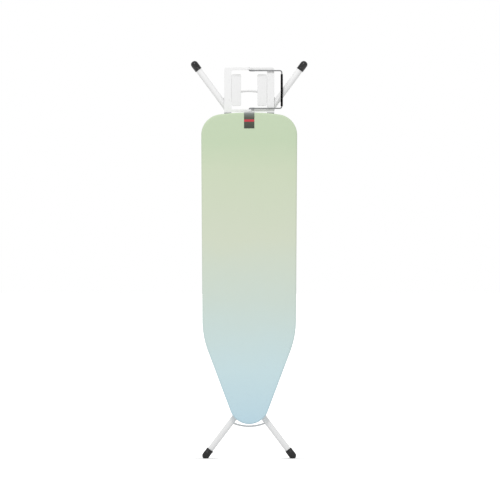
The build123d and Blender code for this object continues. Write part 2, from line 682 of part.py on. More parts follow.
with BuildPart() as iron_stop_bushes:
    bush_low = STOP_PIVOT_BEND + FIT_GAP
    for arm_z in (STOP_BOTTOM, STOP_TOP):
        ring_across(bush_low, bush_low + STOP_BUSH_LENGTH, STOP_DEPTH, arm_z,
                    STOP_BUSH_DIAMETER / 2, STOP_RADIUS + WELD_GAP)
keep("iron_stop_bushes", iron_stop_bushes)

# Height latch: toothed plate on the lever rod, dropped onto the slider bar
FRONT_SLIDE_DEPTH = LEG_DEPTH - LATCH_DEPTH


def latch_place(slider_z):
    """Where the slider bar lies on the lifted latch plate, as (depth, z)."""
    turn = radians(LATCH_DROP_ANGLE)
    run = slider_z - LATCH_Z
    depth = LATCH_DEPTH + FRONT_SLIDE_DEPTH * cos(turn) + run * sin(turn)
    return depth, LATCH_Z + run * cos(turn) - FRONT_SLIDE_DEPTH * sin(turn)


notch_places = []
for notch in range(NOTCH_COUNT):
    share = notch / (NOTCH_COUNT - 1)
    fold_angle = FULL_OPEN_ANGLE + share * (LOWEST_ANGLE - FULL_OPEN_ANGLE)
    notch_places.append(latch_place(HINGE_Z + SLIDER_TRAVEL_ARM * cos(radians(fold_angle))))
NOTCH_RADIUS = SLIDER_DIAMETER / 2 + NOTCH_CLEARANCE
latch_front = min(depth for depth, z in notch_places) - NOTCH_RADIUS - LATCH_SPINE
tooth_low = notch_places[0][1] - LATCH_TOE
tooth_high = notch_places[-1][1] + LATCH_TOE
LATCH_HUB = LATCH_HUB_DIAMETER / 2
LATCH_ARM_HALF = LATCH_HUB - WELD_GAP

with BuildPart() as latch_plate:
    with BuildSketch(Plane.YZ.offset(-LATCH_SHEET / 2)):
        with BuildLine():
            Polyline(
                (back(LATCH_DEPTH - LATCH_ARM_HALF), LATCH_Z),
                (back(latch_front), tooth_high),
                (back(latch_front), tooth_low),
                (back(LATCH_TOOTH_BACK), tooth_low),
                (back(LATCH_TOOTH_BACK), tooth_high),
                (back(LATCH_RELIEF_BACK), tooth_high + LATCH_TOE),
                (back(LATCH_DEPTH + LATCH_ARM_HALF), LATCH_Z),
                close=True,
            )
        make_face()
        for notch_depth, notch_z in notch_places:
            with Locations((back(notch_depth), notch_z)):
                Circle(NOTCH_RADIUS, mode=Mode.SUBTRACT)
            with Locations((back((notch_depth + LATCH_TOOTH_BACK) / 2), notch_z)):
                Rectangle(max(LATCH_TOOTH_BACK - notch_depth, WELD_GAP), 2 * NOTCH_RADIUS,
                          mode=Mode.SUBTRACT)
    extrude(amount=LATCH_SHEET)
    hub_half = RAIL_GAP / 2 - EAR_SIDE_GAP
    ring_across(-hub_half, hub_half, LATCH_DEPTH, LATCH_Z, LATCH_HUB, 0)
    bore_across(-hub_half, hub_half, LATCH_DEPTH, LATCH_Z, LEVER_DIAMETER / 2 + WELD_GAP)
keep("latch_plate", latch_plate)

lever_y = back(LATCH_DEPTH)
clip_low = -RAIL_GAP / 2 - RAIL_SHEET - FIT_GAP - CLIP_THICKNESS
lever_points = [
    (clip_low - LEVER_END, lever_y, LATCH_Z),
    (LEVER_X, lever_y, LATCH_Z),
    (LEVER_X, lever_y, LATCH_Z - LEVER_DROP),
]
with BuildPart() as lever_rod:
    with BuildLine():
        FilletPolyline(*lever_points, radius=LEVER_BEND)
    with BuildSketch(Plane(origin=lever_points[0], x_dir=(0, 1, 0), z_dir=(1, 0, 0))):
        Circle(LEVER_DIAMETER / 2)
    sweep()
keep("lever_rod", lever_rod)

with BuildPart() as lever_rod_clip:
    ring_across(clip_low, clip_low + CLIP_THICKNESS, LATCH_DEPTH, LATCH_Z, CLIP_DIAMETER / 2,
                LEVER_DIAMETER / 2 + WELD_GAP)
keep("lever_rod_clip", lever_rod_clip)

with BuildPart() as lever_grip:
    grip_low = LATCH_Z - LEVER_DROP - LEVER_END
    with BuildSketch(Plane.XY.offset(grip_low)):
        with Locations((LEVER_X, lever_y)):
            Circle(GRIP_DIAMETER / 2)
    extrude(amount=GRIP_LENGTH)
    fillet(lever_grip.edges().filter_by(GeomType.CIRCLE), radius=GRIP_DIAMETER / 5)
    with BuildSketch(Plane.XY.offset(LATCH_Z - LEVER_DROP)):
        with Locations((LEVER_X, lever_y)):
            Circle(LEVER_DIAMETER / 2 + WELD_GAP)
    extrude(amount=GRIP_LENGTH - LEVER_END, mode=Mode.SUBTRACT)
keep("lever_grip", lever_grip)

# Leg frames
leg_y = back(LEG_DEPTH)
outer_cap_z = OVERALL_HEIGHT - CAP_RADIUS
inner_cap_z = CAP_RADIUS - CAP_FLOOR_CUT
LEG_BORE = LEG_RADIUS - LEG_WALL


def foot_axis(side, splay, upward):
    """Unit direction in which a splayed leg runs towards its foot."""
    return Vector(side * sin(radians(splay)), 0, upward * cos(radians(splay)))


def foot_centre(side, leg_x, splay, bend_z, cap_z):
    """Centre of a foot cap's round end."""
    return Vector(side * (leg_x + abs(cap_z - bend_z) * tan(radians(splay))), leg_y, cap_z)


def leg_tube(side, leg_x, splay, bend_z, end_z, cap_z, holes):
    """Bent tube: straight along the board, then splayed to its foot."""
    upward = 1 if cap_z > bend_z else -1
    centre = foot_centre(side, leg_x, splay, bend_z, cap_z)
    foot_end = centre - foot_axis(side, splay, upward) * CAP_SOCKET_END
    start = Vector(side * leg_x, leg_y, end_z)
    with BuildPart() as tube:
        with BuildLine():
            FilletPolyline(start, (side * leg_x, leg_y, bend_z), foot_end, radius=LEG_BEND_RADIUS)
        with BuildSketch(Plane(origin=start, x_dir=(1, 0, 0), z_dir=(0, 0, upward))):
            Circle(LEG_RADIUS)
            Circle(LEG_BORE, mode=Mode.SUBTRACT)
        sweep()
        for hole_z, hole_radius in holes:
            bore_across(side * leg_x - LEG_DIAMETER, side * leg_x + LEG_DIAMETER, LEG_DEPTH, hole_z,
                        hole_radius)
    return tube


def foot_cap(side, leg_x, splay, bend_z, cap_z):
    """Rubber cap pushed over the tube's end, domed at its tip and flat where it stands on the floor."""
    upward = 1 if cap_z > bend_z else -1
    centre = foot_centre(side, leg_x, splay, bend_z, cap_z)
    direction = foot_axis(side, splay, upward)
    base = centre - direction * (CAP_LENGTH - CAP_RADIUS)
    socket_end = centre - direction * (CAP_SOCKET_END - WELD_GAP)
    with BuildPart() as cap:
        with BuildSketch(Plane(origin=base, x_dir=(0, 1, 0), z_dir=direction)):
            Circle(CAP_RADIUS)
        extrude(amount=CAP_LENGTH)
        tip = cap.faces().sort_by(Axis(origin=base, direction=direction))[-1]
        fillet(tip.edges(), radius=CAP_RADIUS - CAP_TIP_FLAT)
        with BuildSketch(Plane(origin=base, x_dir=(0, 1, 0), z_dir=direction)):
            Circle(LEG_RADIUS + WELD_GAP)
        extrude(amount=(socket_end - base).length, mode=Mode.SUBTRACT)
        split(bisect_by=Plane.XY, keep=Keep.TOP)
    return cap


def arch_bar(leg_x, splay, bend_z, end_z, rise):
    """Arched rod between a frame's two tubes, its ends cut to the tubes' round."""
    upward = 1 if end_z > bend_z else -1
    end_x = leg_x + abs(end_z - bend_z) * tan(radians(splay))
    with BuildPart() as arch:
        with BuildLine() as path:
            ThreePointArc((-end_x, leg_y, end_z), (0, leg_y, end_z + upward * rise), (end_x, leg_y, end_z))
        with BuildSketch(Plane(origin=path.wire() @ 0, x_dir=(0, 1, 0), z_dir=path.wire() % 0)):
            Circle(ARCH_DIAMETER / 2)
        sweep()
        for side in SIDES.values():
            along = foot_axis(side, splay, upward)
            low_end = Vector(side * end_x, leg_y, end_z) - along * LEG_DIAMETER
            with BuildSketch(Plane(origin=low_end, x_dir=(0, 1, 0), z_dir=along)):
                Circle(LEG_RADIUS + WELD_GAP)
            extrude(amount=2 * LEG_DIAMETER, mode=Mode.SUBTRACT)
    return arch


def tube_plugs(leg_x, end_z, outward):
    """Domed plugs that close a frame's two tube ends."""
    with BuildPart() as plugs:
        for side in SIDES.values():
            seat = Plane(origin=(side * leg_x, leg_y, end_z), x_dir=(1, 0, 0), z_dir=(0, 0, outward))
            with BuildSketch(seat):
                Circle(LEG_RADIUS)
            extrude(amount=PLUG_HEAD)
            with BuildSketch(seat):
                Circle(LEG_BORE - WELD_GAP)
                Circle(LEG_BORE - WELD_GAP - PLUG_WALL, mode=Mode.SUBTRACT)
            extrude(amount=-PLUG_DEPTH)
        head_faces = plugs.faces().group_by(Axis.Z)[-1 if outward > 0 else 0]
        fillet(head_faces.edges(), radius=PLUG_ROUND)
    return plugs


outer_line = (OUTER_LEG_X, OUTER_SPLAY_ANGLE, OUTER_BEND_Z)
inner_line = (INNER_LEG_X, INNER_SPLAY_ANGLE, INNER_BEND_Z)
outer_end_z = HINGE_Z - TUBE_OVERHANG
inner_end_z = SLIDER_Z + TUBE_OVERHANG
SLIDER_HOLE = SLIDER_DIAMETER / 2 + WELD_GAP
outer_holes = [(HINGE_Z, PIN_HOLE), (PIVOT_Z, BOLT_HOLE)]
inner_holes = [(SLIDER_Z, SLIDER_HOLE), (PIVOT_Z, BOLT_HOLE)]

for side_name, side in SIDES.items():
    outer_tube = leg_tube(side, *outer_line, outer_end_z, outer_cap_z, outer_holes)
    keep(f"outer_leg_tube_{side_name}", outer_tube)
    inner_tube = leg_tube(side, *inner_line, inner_end_z, inner_cap_z, inner_holes)
    keep(f"inner_leg_tube_{side_name}", inner_tube)
    keep(f"outer_foot_cap_{side_name}", foot_cap(side, *outer_line, outer_cap_z))
    keep(f"inner_foot_cap_{side_name}", foot_cap(side, *inner_line, inner_cap_z))

keep("outer_leg_arch_bar", arch_bar(*outer_line, OUTER_ARCH_Z, OUTER_ARCH_RISE))
keep("inner_leg_arch_bar", arch_bar(*inner_line, INNER_ARCH_Z, INNER_ARCH_RISE))
keep("outer_tube_plugs", tube_plugs(OUTER_LEG_X, outer_end_z, -1))
keep("inner_tube_plugs", tube_plugs(INNER_LEG_X, inner_end_z, 1))

# Scissor pivot: one bolt a side, through an outer and an inner tube with a spacer between
bolt_inner = INNER_LEG_X - LEG_RADIUS - FIT_GAP
bolt_outer = OUTER_LEG_X + LEG_RADIUS + FIT_GAP
spacer_inner = INNER_LEG_X + LEG_RADIUS + FIT_GAP
spacer_outer = OUTER_LEG_X - LEG_RADIUS - FIT_GAP


def span(side, near, far):
    """Low and high X of a stretch that runs outwards on one side of the board."""
    return min(side * near, side * far), max(side * near, side * far)


with BuildPart() as scissor_bolts:
    for side in SIDES.values():
        shank_low, shank_high = span(side, bolt_inner - NUT_THICKNESS - BOLT_END, bolt_outer)
        ring_across(shank_low, shank_high, LEG_DEPTH, PIVOT_Z, BOLT_DIAMETER / 2, 0)
        head_low, head_high = span(side, bolt_outer, bolt_outer + BOLT_HEAD_THICKNESS)
        ring_across(head_low, head_high, LEG_DEPTH, PIVOT_Z, BOLT_HEAD_DIAMETER / 2, 0)
    head_faces = scissor_bolts.faces().sort_by(Axis.X)
    fillet(head_faces[0].edges() + head_faces[-1].edges(), radius=BOLT_HEAD_ROUND)
keep("scissor_bolts", scissor_bolts)

with BuildPart() as scissor_nuts:
    for side in SIDES.values():
        nut_low, nut_high = span(side, bolt_inner - NUT_THICKNESS, bolt_inner)
        with BuildSketch(Plane.YZ.offset(nut_low)):
            with Locations((leg_y, PIVOT_Z)):
                RegularPolygon(NUT_WIDTH / 2, 6, major_radius=False)
                Circle(BOLT_DIAMETER / 2 + WELD_GAP, mode=Mode.SUBTRACT)
        extrude(amount=nut_high - nut_low)
keep("scissor_nuts", scissor_nuts)

with BuildPart() as scissor_spacers:
    for side in SIDES.values():
        low, high = span(side, spacer_inner, spacer_outer)
        ring_across(low, high, LEG_DEPTH, PIVOT_Z, SPACER_DIAMETER / 2, BOLT_DIAMETER / 2 + WELD_GAP)
keep("scissor_spacers", scissor_spacers)

# Slider bar between the inner tubes, and the bushes that keep it centred in the rails
slider_half = INNER_LEG_X + LEG_RADIUS + SLIDER_END
with BuildPart() as slider_bar:
    ring_across(-slider_half, slider_half, LEG_DEPTH, SLIDER_Z, SLIDER_DIAMETER / 2, 0)
keep("slider_bar", slider_bar)

with BuildPart() as slider_bushes:
    for side in SIDES.values():
        low, high = span(side, RAIL_GAP / 2 + RAIL_SHEET + FIT_GAP, INNER_LEG_X - LEG_RADIUS - FIT_GAP)
        ring_across(low, high, LEG_DEPTH, SLIDER_Z, SLIDER_DIAMETER / 2 + BUSH_WALL, SLIDER_HOLE)
keep("slider_bushes", slider_bushes)

outer_foot = foot_centre(1, *outer_line, outer_cap_z)
inner_foot = foot_centre(1, *inner_line, inner_cap_z)
foot_spread = 2 * (outer_foot.X + CAP_RADIUS)
open_rise = LEG_LENGTH * sin(radians(FULL_OPEN_ANGLE)) + LEG_DEPTH
print(f"folded {foot_spread:.1f} x {TOTAL_DEPTH:.1f} x {OVERALL_HEIGHT:.1f} mm")
print(f"open, the face lies at {open_rise:.0f} mm")
print(f"steam holes: {len(hole_points)}, latch at z {LATCH_Z:.1f}, depth {LATCH_DEPTH:.2f}")
print(f"feet stand at x {inner_foot.X:.2f}, y {leg_y:.2f}")
print(f"stop axis at depth {STOP_DEPTH:.2f}, leg plane at depth {LEG_DEPTH:.2f}, face at y {back(0):.2f}")
print(f"slider runs from z {SLIDER_Z:.1f} to {SLIDER_LOWEST_Z:.1f}, scissor pivot at z {PIVOT_Z:.1f}")
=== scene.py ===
# %% [markdown]
# # A folded ironing board, dressed for the camera
# The board stands folded and upright, its ironing face towards the camera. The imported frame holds
# every rigid piece at its real size and place. This script adds the soft goods, the moulded detail
# and the finishes, piece by piece. All lengths are in metres, and the frame's axes are kept:
# X to the right, Y away from the camera, Z up.

# %% Load the frame
import json
import math

import bmesh
import bpy
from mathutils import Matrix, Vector, noise


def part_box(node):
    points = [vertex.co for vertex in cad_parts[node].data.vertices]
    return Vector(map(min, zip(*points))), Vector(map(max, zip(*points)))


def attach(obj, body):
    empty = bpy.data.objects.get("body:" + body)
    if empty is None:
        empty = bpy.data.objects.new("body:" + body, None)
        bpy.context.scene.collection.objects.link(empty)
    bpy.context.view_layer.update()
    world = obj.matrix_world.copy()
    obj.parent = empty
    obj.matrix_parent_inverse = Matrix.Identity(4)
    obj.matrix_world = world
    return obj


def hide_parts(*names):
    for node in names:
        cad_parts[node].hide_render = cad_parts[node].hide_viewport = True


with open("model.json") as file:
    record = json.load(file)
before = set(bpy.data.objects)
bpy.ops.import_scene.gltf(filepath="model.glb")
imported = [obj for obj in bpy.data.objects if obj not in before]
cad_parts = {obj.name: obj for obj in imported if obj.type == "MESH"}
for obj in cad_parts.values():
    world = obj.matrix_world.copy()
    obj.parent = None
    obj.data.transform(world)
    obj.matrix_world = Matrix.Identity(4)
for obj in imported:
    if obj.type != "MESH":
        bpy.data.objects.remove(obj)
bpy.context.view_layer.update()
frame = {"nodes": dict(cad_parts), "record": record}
nodes = frame["nodes"]
MM = 0.001

# %% [markdown]
# ## Colours and nodes
# Colours are written as sRGB hex, the way a paint chart gives them, and one function turns them to the
# linear values that shaders use. Nodes could be added and linked line by line, but a material soon
# has a dozen of them. A second function adds a node with its settings and links in one call.


# %% Helpers for colours and nodes
def linear(hex_code):
    """Linear colour, with alpha, of an sRGB hex code."""
    channels = [int(hex_code[i:i + 2], 16) / 255 for i in (1, 3, 5)]
    return [c / 12.92 if c <= 0.04045 else ((c + 0.055) / 1.055) ** 2.4 for c in channels] + [1.0]


def add_node(tree, kind, inputs=None, **settings):
    """Add a node, set its options, and fill or link its inputs."""
    node = tree.nodes.new(kind)
    for option, value in settings.items():
        setattr(node, option, value)
    for socket, value in (inputs or {}).items():
        if isinstance(value, bpy.types.NodeSocket):
            tree.links.new(value, node.inputs[socket])
        else:
            node.inputs[socket].default_value = value
    return node


def set_stops(ramp, run):
    """Give a colour ramp its stops, as (position, hex code) pairs in rising order."""
    stops = ramp.color_ramp.elements
    while len(stops) < len(run):
        stops.new(1.0)
    for stop, (position, colour) in zip(stops, run):
        stop.position = position
        stop.color = linear(colour)


print("mid grey #808080 in linear light:", [round(c, 3) for c in linear("#808080")])

# %% [markdown]
# ## How each finish starts
# Every finish is one Principled shader with its constant values, plus a pattern or two. The patterns take
# the object's own coordinates, which are metres here, so a grain of 1 mm stays 1 mm on a large piece
# and on a small one, and no unwrapping is needed. A wave pattern of scale 1 repeats every 0.314 m, so
# its scale is that length over the real spacing. Fine relief is a bump: it changes how light falls
# on the skin, not the outline.


# %% Helpers for finishes
WAVE_PERIOD = 0.314


def start_material(name, colour, roughness, **sockets):
    """New material with its constant values on the shader, and the object's own coordinates."""
    material = bpy.data.materials.new(name)
    material.use_nodes = True
    tree = material.node_tree
    shader = tree.nodes["Principled BSDF"]
    shader.inputs["Base Color"].default_value = linear(colour)
    shader.inputs["Roughness"].default_value = roughness
    for socket, value in sockets.items():
        shader.inputs[socket.replace("_", " ")].default_value = value
    place = add_node(tree, "ShaderNodeTexCoord").outputs["Object"]
    return material, tree, shader, place


def put_bump(tree, shader, height, depth, strength=1.0):
    """Let a height pattern, 0 to 1, raise the surface by a depth in metres."""
    bump = add_node(tree, "ShaderNodeBump", {"Height": height, "Distance": depth, "Strength": strength})
    tree.links.new(bump.outputs["Normal"], shader.inputs["Normal"])


print("a wave pattern of scale 1 repeats every", WAVE_PERIOD, "m")

# %% [markdown]
# ## How each piece starts
# A piece is a list of points and a list of faces, worked out by a formula. It could be modelled by hand in
# the viewport, but numbers can be changed later and hand moves can't. Each piece stays at the origin,
# as the frame's nodes do, rides on the body that carries it and stands for the plain solid it
# takes the place of. Many pieces are rings of points, so a helper skins one ring to the next.


# %% Helpers for pieces
WELD_DISTANCE = 0.02 * MM


def place_piece(name, mesh, body, stands_for):
    """Object at the origin that rides on a body and stands for its CAD nodes."""
    piece = bpy.data.objects.new(name, mesh)
    bpy.context.scene.collection.objects.link(piece)
    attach(piece, body)
    if stands_for:
        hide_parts(*stands_for)
    print(name, len(mesh.vertices), "points", len(mesh.polygons), "faces")
    return piece


def make_piece(name, points, faces, body, material, slot, stands_for):
    """Piece with a smooth skin from points and faces, its doubles merged and its faces turned outwards."""
    mesh = bpy.data.meshes.new(name)
    mesh.from_pydata([tuple(p) for p in points], [], faces)
    mesh.validate()
    grown = bmesh.new()
    grown.from_mesh(mesh)
    bmesh.ops.remove_doubles(grown, verts=grown.verts, dist=WELD_DISTANCE)
    bmesh.ops.recalc_face_normals(grown, faces=grown.faces)
    grown.to_mesh(mesh)
    grown.free()
    mesh.shade_smooth()
    mesh.materials.append(material)
    return place_piece(name, mesh, body, stands_for)


def rings_to_faces(ring_count, ring_size, closed_ends=False):
    """Quads between rings of equal size, each ring closed on itself."""
    faces = []
    for ring in range(ring_count - 1):
        for i in range(ring_size):
            j = (i + 1) % ring_size
            low, high = ring * ring_size, (ring + 1) * ring_size
            faces.append((low + i, low + j, high + j, high + i))
    if closed_ends:
        faces.append(tuple(range(ring_size)))
        faces.append(tuple(reversed(range((ring_count - 1) * ring_size, ring_count * ring_size))))
    return faces


print("a skin over 3 rings of 8 points has", len(rings_to_faces(3, 8)), "faces")

# %% [markdown]
# ## Cotton for the cover
# The cover is plain-woven cotton, printed with a colour run from soft green at the wide end to pale
# blue at the nose. Cloth is rough and has a faint sheen from its loose fibres. The run is a ramp
# along Z. The weave is two crossed waves: real threads lie about 0.4 mm apart, too fine to show
# here, so they are drawn 1.6 mm apart.

# %% Cotton cloth
cover_low, cover_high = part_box("cotton_cover")
THREAD_SPACING = 1.6 * MM
WASH_SIZE, WASH_DRIFT = 0.11, 0.05
COLOUR_RUN = [(0.00, "#C1DEEB"), (0.20, "#CDE4E8"), (0.42, "#D1DFD6"),
              (0.62, "#D5DDC8"), (0.84, "#CFDABF"), (0.93, "#C6D6B8")]

cotton, tree, shader, place = start_material(
    "woven_cotton", "#CCD9CB", 0.92, Sheen_Weight=0.25, Sheen_Roughness=0.6, Specular_IOR_Level=0.2)
axes = add_node(tree, "ShaderNodeSeparateXYZ", {"Vector": place})
share = add_node(tree, "ShaderNodeMapRange", {
    "Value": axes.outputs["Z"], "From Min": cover_low.z, "From Max": cover_high.z})
wash = add_node(tree, "ShaderNodeTexNoise", {"Vector": place, "Scale": 1 / WASH_SIZE, "Detail": 2.0})
drift = add_node(tree, "ShaderNodeMath", {
    0: wash.outputs["Fac"], 1: WASH_DRIFT, 2: share.outputs["Result"]}, operation="MULTIPLY_ADD")
ramp = add_node(tree, "ShaderNodeValToRGB", {"Fac": drift.outputs["Value"]})
set_stops(ramp, COLOUR_RUN)
threads = {"Vector": place, "Scale": WAVE_PERIOD / THREAD_SPACING}
warp = add_node(tree, "ShaderNodeTexWave", threads, bands_direction="X")
weft = add_node(tree, "ShaderNodeTexWave", threads, bands_direction="Z")
weave = add_node(tree, "ShaderNodeMath", {0: warp.outputs["Fac"], 1: weft.outputs["Fac"]},
                 operation="MULTIPLY")
put_bump(tree, shader, weave.outputs["Value"], 0.12 * MM, 0.6)
# Painted shade: the colour drops 3 % in the hollows between threads and rises 3 % on their crossings.
weave_shade = add_node(tree, "ShaderNodeMapRange", {
    "Value": weave.outputs["Value"], "To Min": 0.97, "To Max": 1.03})
shaded = add_node(tree, "ShaderNodeVectorMath", {0: ramp.outputs["Color"]}, operation="SCALE")
tree.links.new(weave_shade.outputs["Result"], shaded.inputs["Scale"])
tree.links.new(shaded.outputs["Vector"], shader.inputs["Base Color"])
print("cotton run from z", round(cover_low.z, 3), "to", round(cover_high.z, 3))

# %% [markdown]
# ## Powder-coated steel
# Legs, rim, cross members and the iron rest are mild steel with a baked powder coat. The powder melts
# into a thin even skin with a fine orange peel: little waves about 1.5 mm across that soften the
# highlight. A slow change of tone keeps the long tubes from looking like plain plastic.


# %% Coated steel
TONE_SIZE, DULL_SHARE = 0.2, 0.955


def powder_coat(name, colour, roughness, peel_size):
    """Baked powder coat with an orange peel of a given size."""
    material, tree, shader, place = start_material(
        name, colour, roughness, IOR=1.5, Coat_Weight=0.15, Coat_Roughness=0.2)
    peel = add_node(tree, "ShaderNodeTexNoise", {"Vector": place, "Scale": 1 / peel_size, "Detail": 1.5})
    put_bump(tree, shader, peel.outputs["Fac"], 0.04 * MM, 0.35)
    tone = add_node(tree, "ShaderNodeTexNoise", {"Vector": place, "Scale": 1 / TONE_SIZE, "Detail": 3.0})
    bright = linear(colour)
    dull = [DULL_SHARE * c for c in bright[:3]] + [1.0]
    mixed = add_node(tree, "ShaderNodeMix", {"Factor": tone.outputs["Fac"]}, data_type="RGBA")
    mixed.inputs["A"].default_value = dull
    mixed.inputs["B"].default_value = bright
    tree.links.new(mixed.outputs["Result"], shader.inputs["Base Color"])
    return material


white_coat = powder_coat("white_powder_coat", "#EDEDED", 0.42, 1.5 * MM)
rest_coat = powder_coat("iron_rest_enamel", "#EFEFEF", 0.38, 1.2 * MM)
panel_coat = powder_coat("grey_panel_coat", "#D9DADA", 0.5, 1.2 * MM)
# The arch bars take the white coat a little darker: painted shade, for thin bars that stand in shade.
arch_shade_coat = powder_coat("white_coat_painted_shade", "#DEDEDE", 0.42, 1.2 * MM)
wire_coat = powder_coat("dark_wire_coat", "#747576", 0.4, 1.0 * MM)
print("coats:", [coat.name for coat in (white_coat, rest_coat, panel_coat, arch_shade_coat, wire_coat)])

# %% [markdown]
# ## Zinc-plated steel
# Rails, latch, bolts and rivets are bright zinc-plated steel. Plating follows the drawn or stamped
# surface, so it keeps fine streaks along the work and a slightly cloudy gloss. Real streaks are a few
# tenths of a millimetre wide, too fine to show here, so they are drawn 1.2 mm wide. It is a metal,
# so the base colour is the reflection's colour and the IOR stays at its default.

# %% Zinc plate
STREAK_WIDTH, STREAK_LENGTH = 1.2 * MM, 40.0 * MM
zinc, tree, shader, place = start_material("bright_zinc_plate", "#C3C6C8", 0.34, Metallic=1.0)
stretch = add_node(tree, "ShaderNodeMapping", {
    "Vector": place, "Scale": (1 / STREAK_WIDTH, 1 / STREAK_WIDTH, 1 / STREAK_LENGTH)})
streak = add_node(tree, "ShaderNodeTexNoise", {
    "Vector": stretch.outputs["Vector"], "Scale": 1.0, "Detail": 2.0})
cloud = add_node(tree, "ShaderNodeMapRange", {
    "Value": streak.outputs["Fac"], "To Min": 0.26, "To Max": 0.46})
tree.links.new(cloud.outputs["Result"], shader.inputs["Roughness"])
put_bump(tree, shader, streak.outputs["Fac"], 0.02 * MM, 0.4)
print(zinc.name, "with streaks", STREAK_WIDTH / MM, "x", STREAK_LENGTH / MM, "mm")

# %% [markdown]
# ## Rubber, silicone and moulded plastic
# Foot caps are carbon-black rubber, the stop's sleeve is matt black silicone, and grip, saddles, plugs
# and bushes are moulded plastic with a spark-eroded grain. All are broad in their highlight; what
# tells them apart is roughness, the size of the grain and how much light the skin throws back at all.
# Real grain is about 0.2 mm, too fine to show here, so it is drawn 0.7 to 1 mm across.


# %% Rubber and plastics
DUST_SIZE = 12.0 * MM


def moulded(name, colour, roughness, grain, depth, shine=0.5):
    """Moulded polymer with a pebbled skin; grain and depth in metres."""
    material, tree, shader, place = start_material(
        name, colour, roughness, IOR=1.5, Specular_IOR_Level=shine)
    pebble = add_node(tree, "ShaderNodeTexVoronoi", {"Vector": place, "Scale": 1 / grain})
    put_bump(tree, shader, pebble.outputs["Distance"], depth, 0.4)
    dust = add_node(tree, "ShaderNodeTexNoise", {"Vector": place, "Scale": 1 / DUST_SIZE, "Detail": 4.0})
    worn = add_node(tree, "ShaderNodeMapRange", {
        "Value": dust.outputs["Fac"], "To Min": roughness - 0.08, "To Max": roughness + 0.1})
    tree.links.new(worn.outputs["Result"], shader.inputs["Roughness"])
    return material


cap_rubber = moulded("black_foot_rubber", "#0F0F10", 0.3, 0.9 * MM, 0.06 * MM, 0.4)
# The rail buffers are grey where the rails pass under the cover's edge: painted shade for the dark gap
# there.
gap_shade_rubber = moulded("grey_gap_shade_rubber", "#A2A3A4", 0.6, 0.9 * MM, 0.04 * MM)
silicone = moulded("black_silicone", "#050505", 0.55, 0.7 * MM, 0.02 * MM, 0.03)
grey_nylon = moulded("grey_nylon_bush", "#7C7D7F", 0.45, 0.7 * MM, 0.03 * MM)
black_plastic = moulded("grained_black_plastic", "#222325", 0.5, 0.8 * MM, 0.05 * MM)
rest_plastic = moulded("heat_proof_pad", "#EAEAEA", 0.55, 1.0 * MM, 0.04 * MM)
soft_and_moulded = (cap_rubber, gap_shade_rubber, silicone, grey_nylon, black_plastic, rest_plastic)
print("moulded:", [skin.name for skin in soft_and_moulded])

# %% [markdown]
# ## Finishes for the CAD nodes that stay
# Most rigid pieces keep their CAD shape and only need a finish. It could be given node by node, but the
# record already names a material slot for each, so one table gives each slot its finish, and the few
# nodes that differ within their slot follow by name.

# %% Dress the CAD nodes
slot_finish = {
    "white_steel": white_coat, "zinc_steel": zinc, "panel_steel": panel_coat, "stop_wire": wire_coat,
    "black_plastic": black_plastic, "rest_pad": rest_plastic, "black_silicone": silicone,
    "black_rubber": cap_rubber, "cover_cloth": cotton, "label_cloth": cotton, "underlay_foam": cotton,
}
node_finish = {row["node"]: slot_finish[row["material_slot"]] for row in frame["record"]["subparts"]}
node_finish["iron_rest_frame"] = rest_coat
node_finish["iron_stop_bushes"] = grey_nylon
# Painted shade: the grey buffers stand for the dark gap at the cover's edge.
node_finish["rail_buffers"] = gap_shade_rubber
# The arch bars get the darker coat: painted shade.
for arch_name in ("outer_leg_arch_bar", "inner_leg_arch_bar"):
    node_finish[arch_name] = arch_shade_coat
for node_name, node in nodes.items():
    node.data.materials.clear()
    node.data.materials.append(node_finish[node_name])
print("dressed", len(nodes), "nodes in", len(set(node_finish.values())), "finishes")

# %% [markdown]
# ## The board's outline
# Cover, underlay and hem stitches all follow one outline: a round nose, a straight taper, soft shoulders,
# nearly straight sides, round corners and a bowed end. It could be read off the CAD mesh, but that mesh
# has uneven points. Lines and arcs walked at an even step give clean rings instead, and each point
# knows its outward direction, so drawing the outline in is only a step back along it.

# %% Walk the outline
HALF_END, HALF_SHOULDER = 191.0 * MM, 186.0 * MM
NOSE_RADIUS, SHOULDER_RADIUS = 79.0 * MM, 350.0 * MM
CORNER_RADIUS, END_BOW = 82.0 * MM, 21.0 * MM
TAPER = math.radians(20.6)
OUTLINE_STEP = 5.0 * MM
nose_z, end_z, face_y = cover_low.z, cover_high.z, cover_low.y


def direction(angle):
    """Unit vector in the board's plane at an angle from +X towards +Z."""
    return Vector((math.cos(angle), math.sin(angle)))


def outline_arcs():
    """Arcs of the right half, from the nose to the end: centre, radius, first and last angle."""
    nose = Vector((0, nose_z + NOSE_RADIUS))
    apex_z = nose.y - NOSE_RADIUS / math.sin(TAPER)
    shoulder = Vector((HALF_SHOULDER, apex_z + HALF_SHOULDER / math.tan(TAPER)))
    corner = Vector((HALF_END, end_z - END_BOW))
    lean = math.atan2(corner.x - shoulder.x, corner.y - shoulder.y)
    turn = (TAPER - lean) / 2
    bisector = direction(-(TAPER + lean) / 2)
    shoulder_centre = shoulder - bisector * (SHOULDER_RADIUS / math.cos(turn))
    end_radius = (HALF_END ** 2 + END_BOW ** 2) / (2 * END_BOW)
    end_centre = Vector((0, end_z - end_radius))
    along = (corner - shoulder).normalized()
    base = shoulder - direction(-lean) * CORNER_RADIUS - end_centre
    nearest = base.dot(along)
    reach = -nearest + math.sqrt(nearest ** 2 - base.length_squared + (end_radius - CORNER_RADIUS) ** 2)
    corner_centre = end_centre + base + along * reach
    end_angle = math.atan2(corner_centre.y - end_centre.y, corner_centre.x - end_centre.x)
    return [(nose, NOSE_RADIUS, -math.pi / 2, -TAPER),
            (shoulder_centre, SHOULDER_RADIUS, -TAPER, -lean),
            (corner_centre, CORNER_RADIUS, -lean, end_angle),
            (end_centre, end_radius, end_angle, math.pi / 2)]


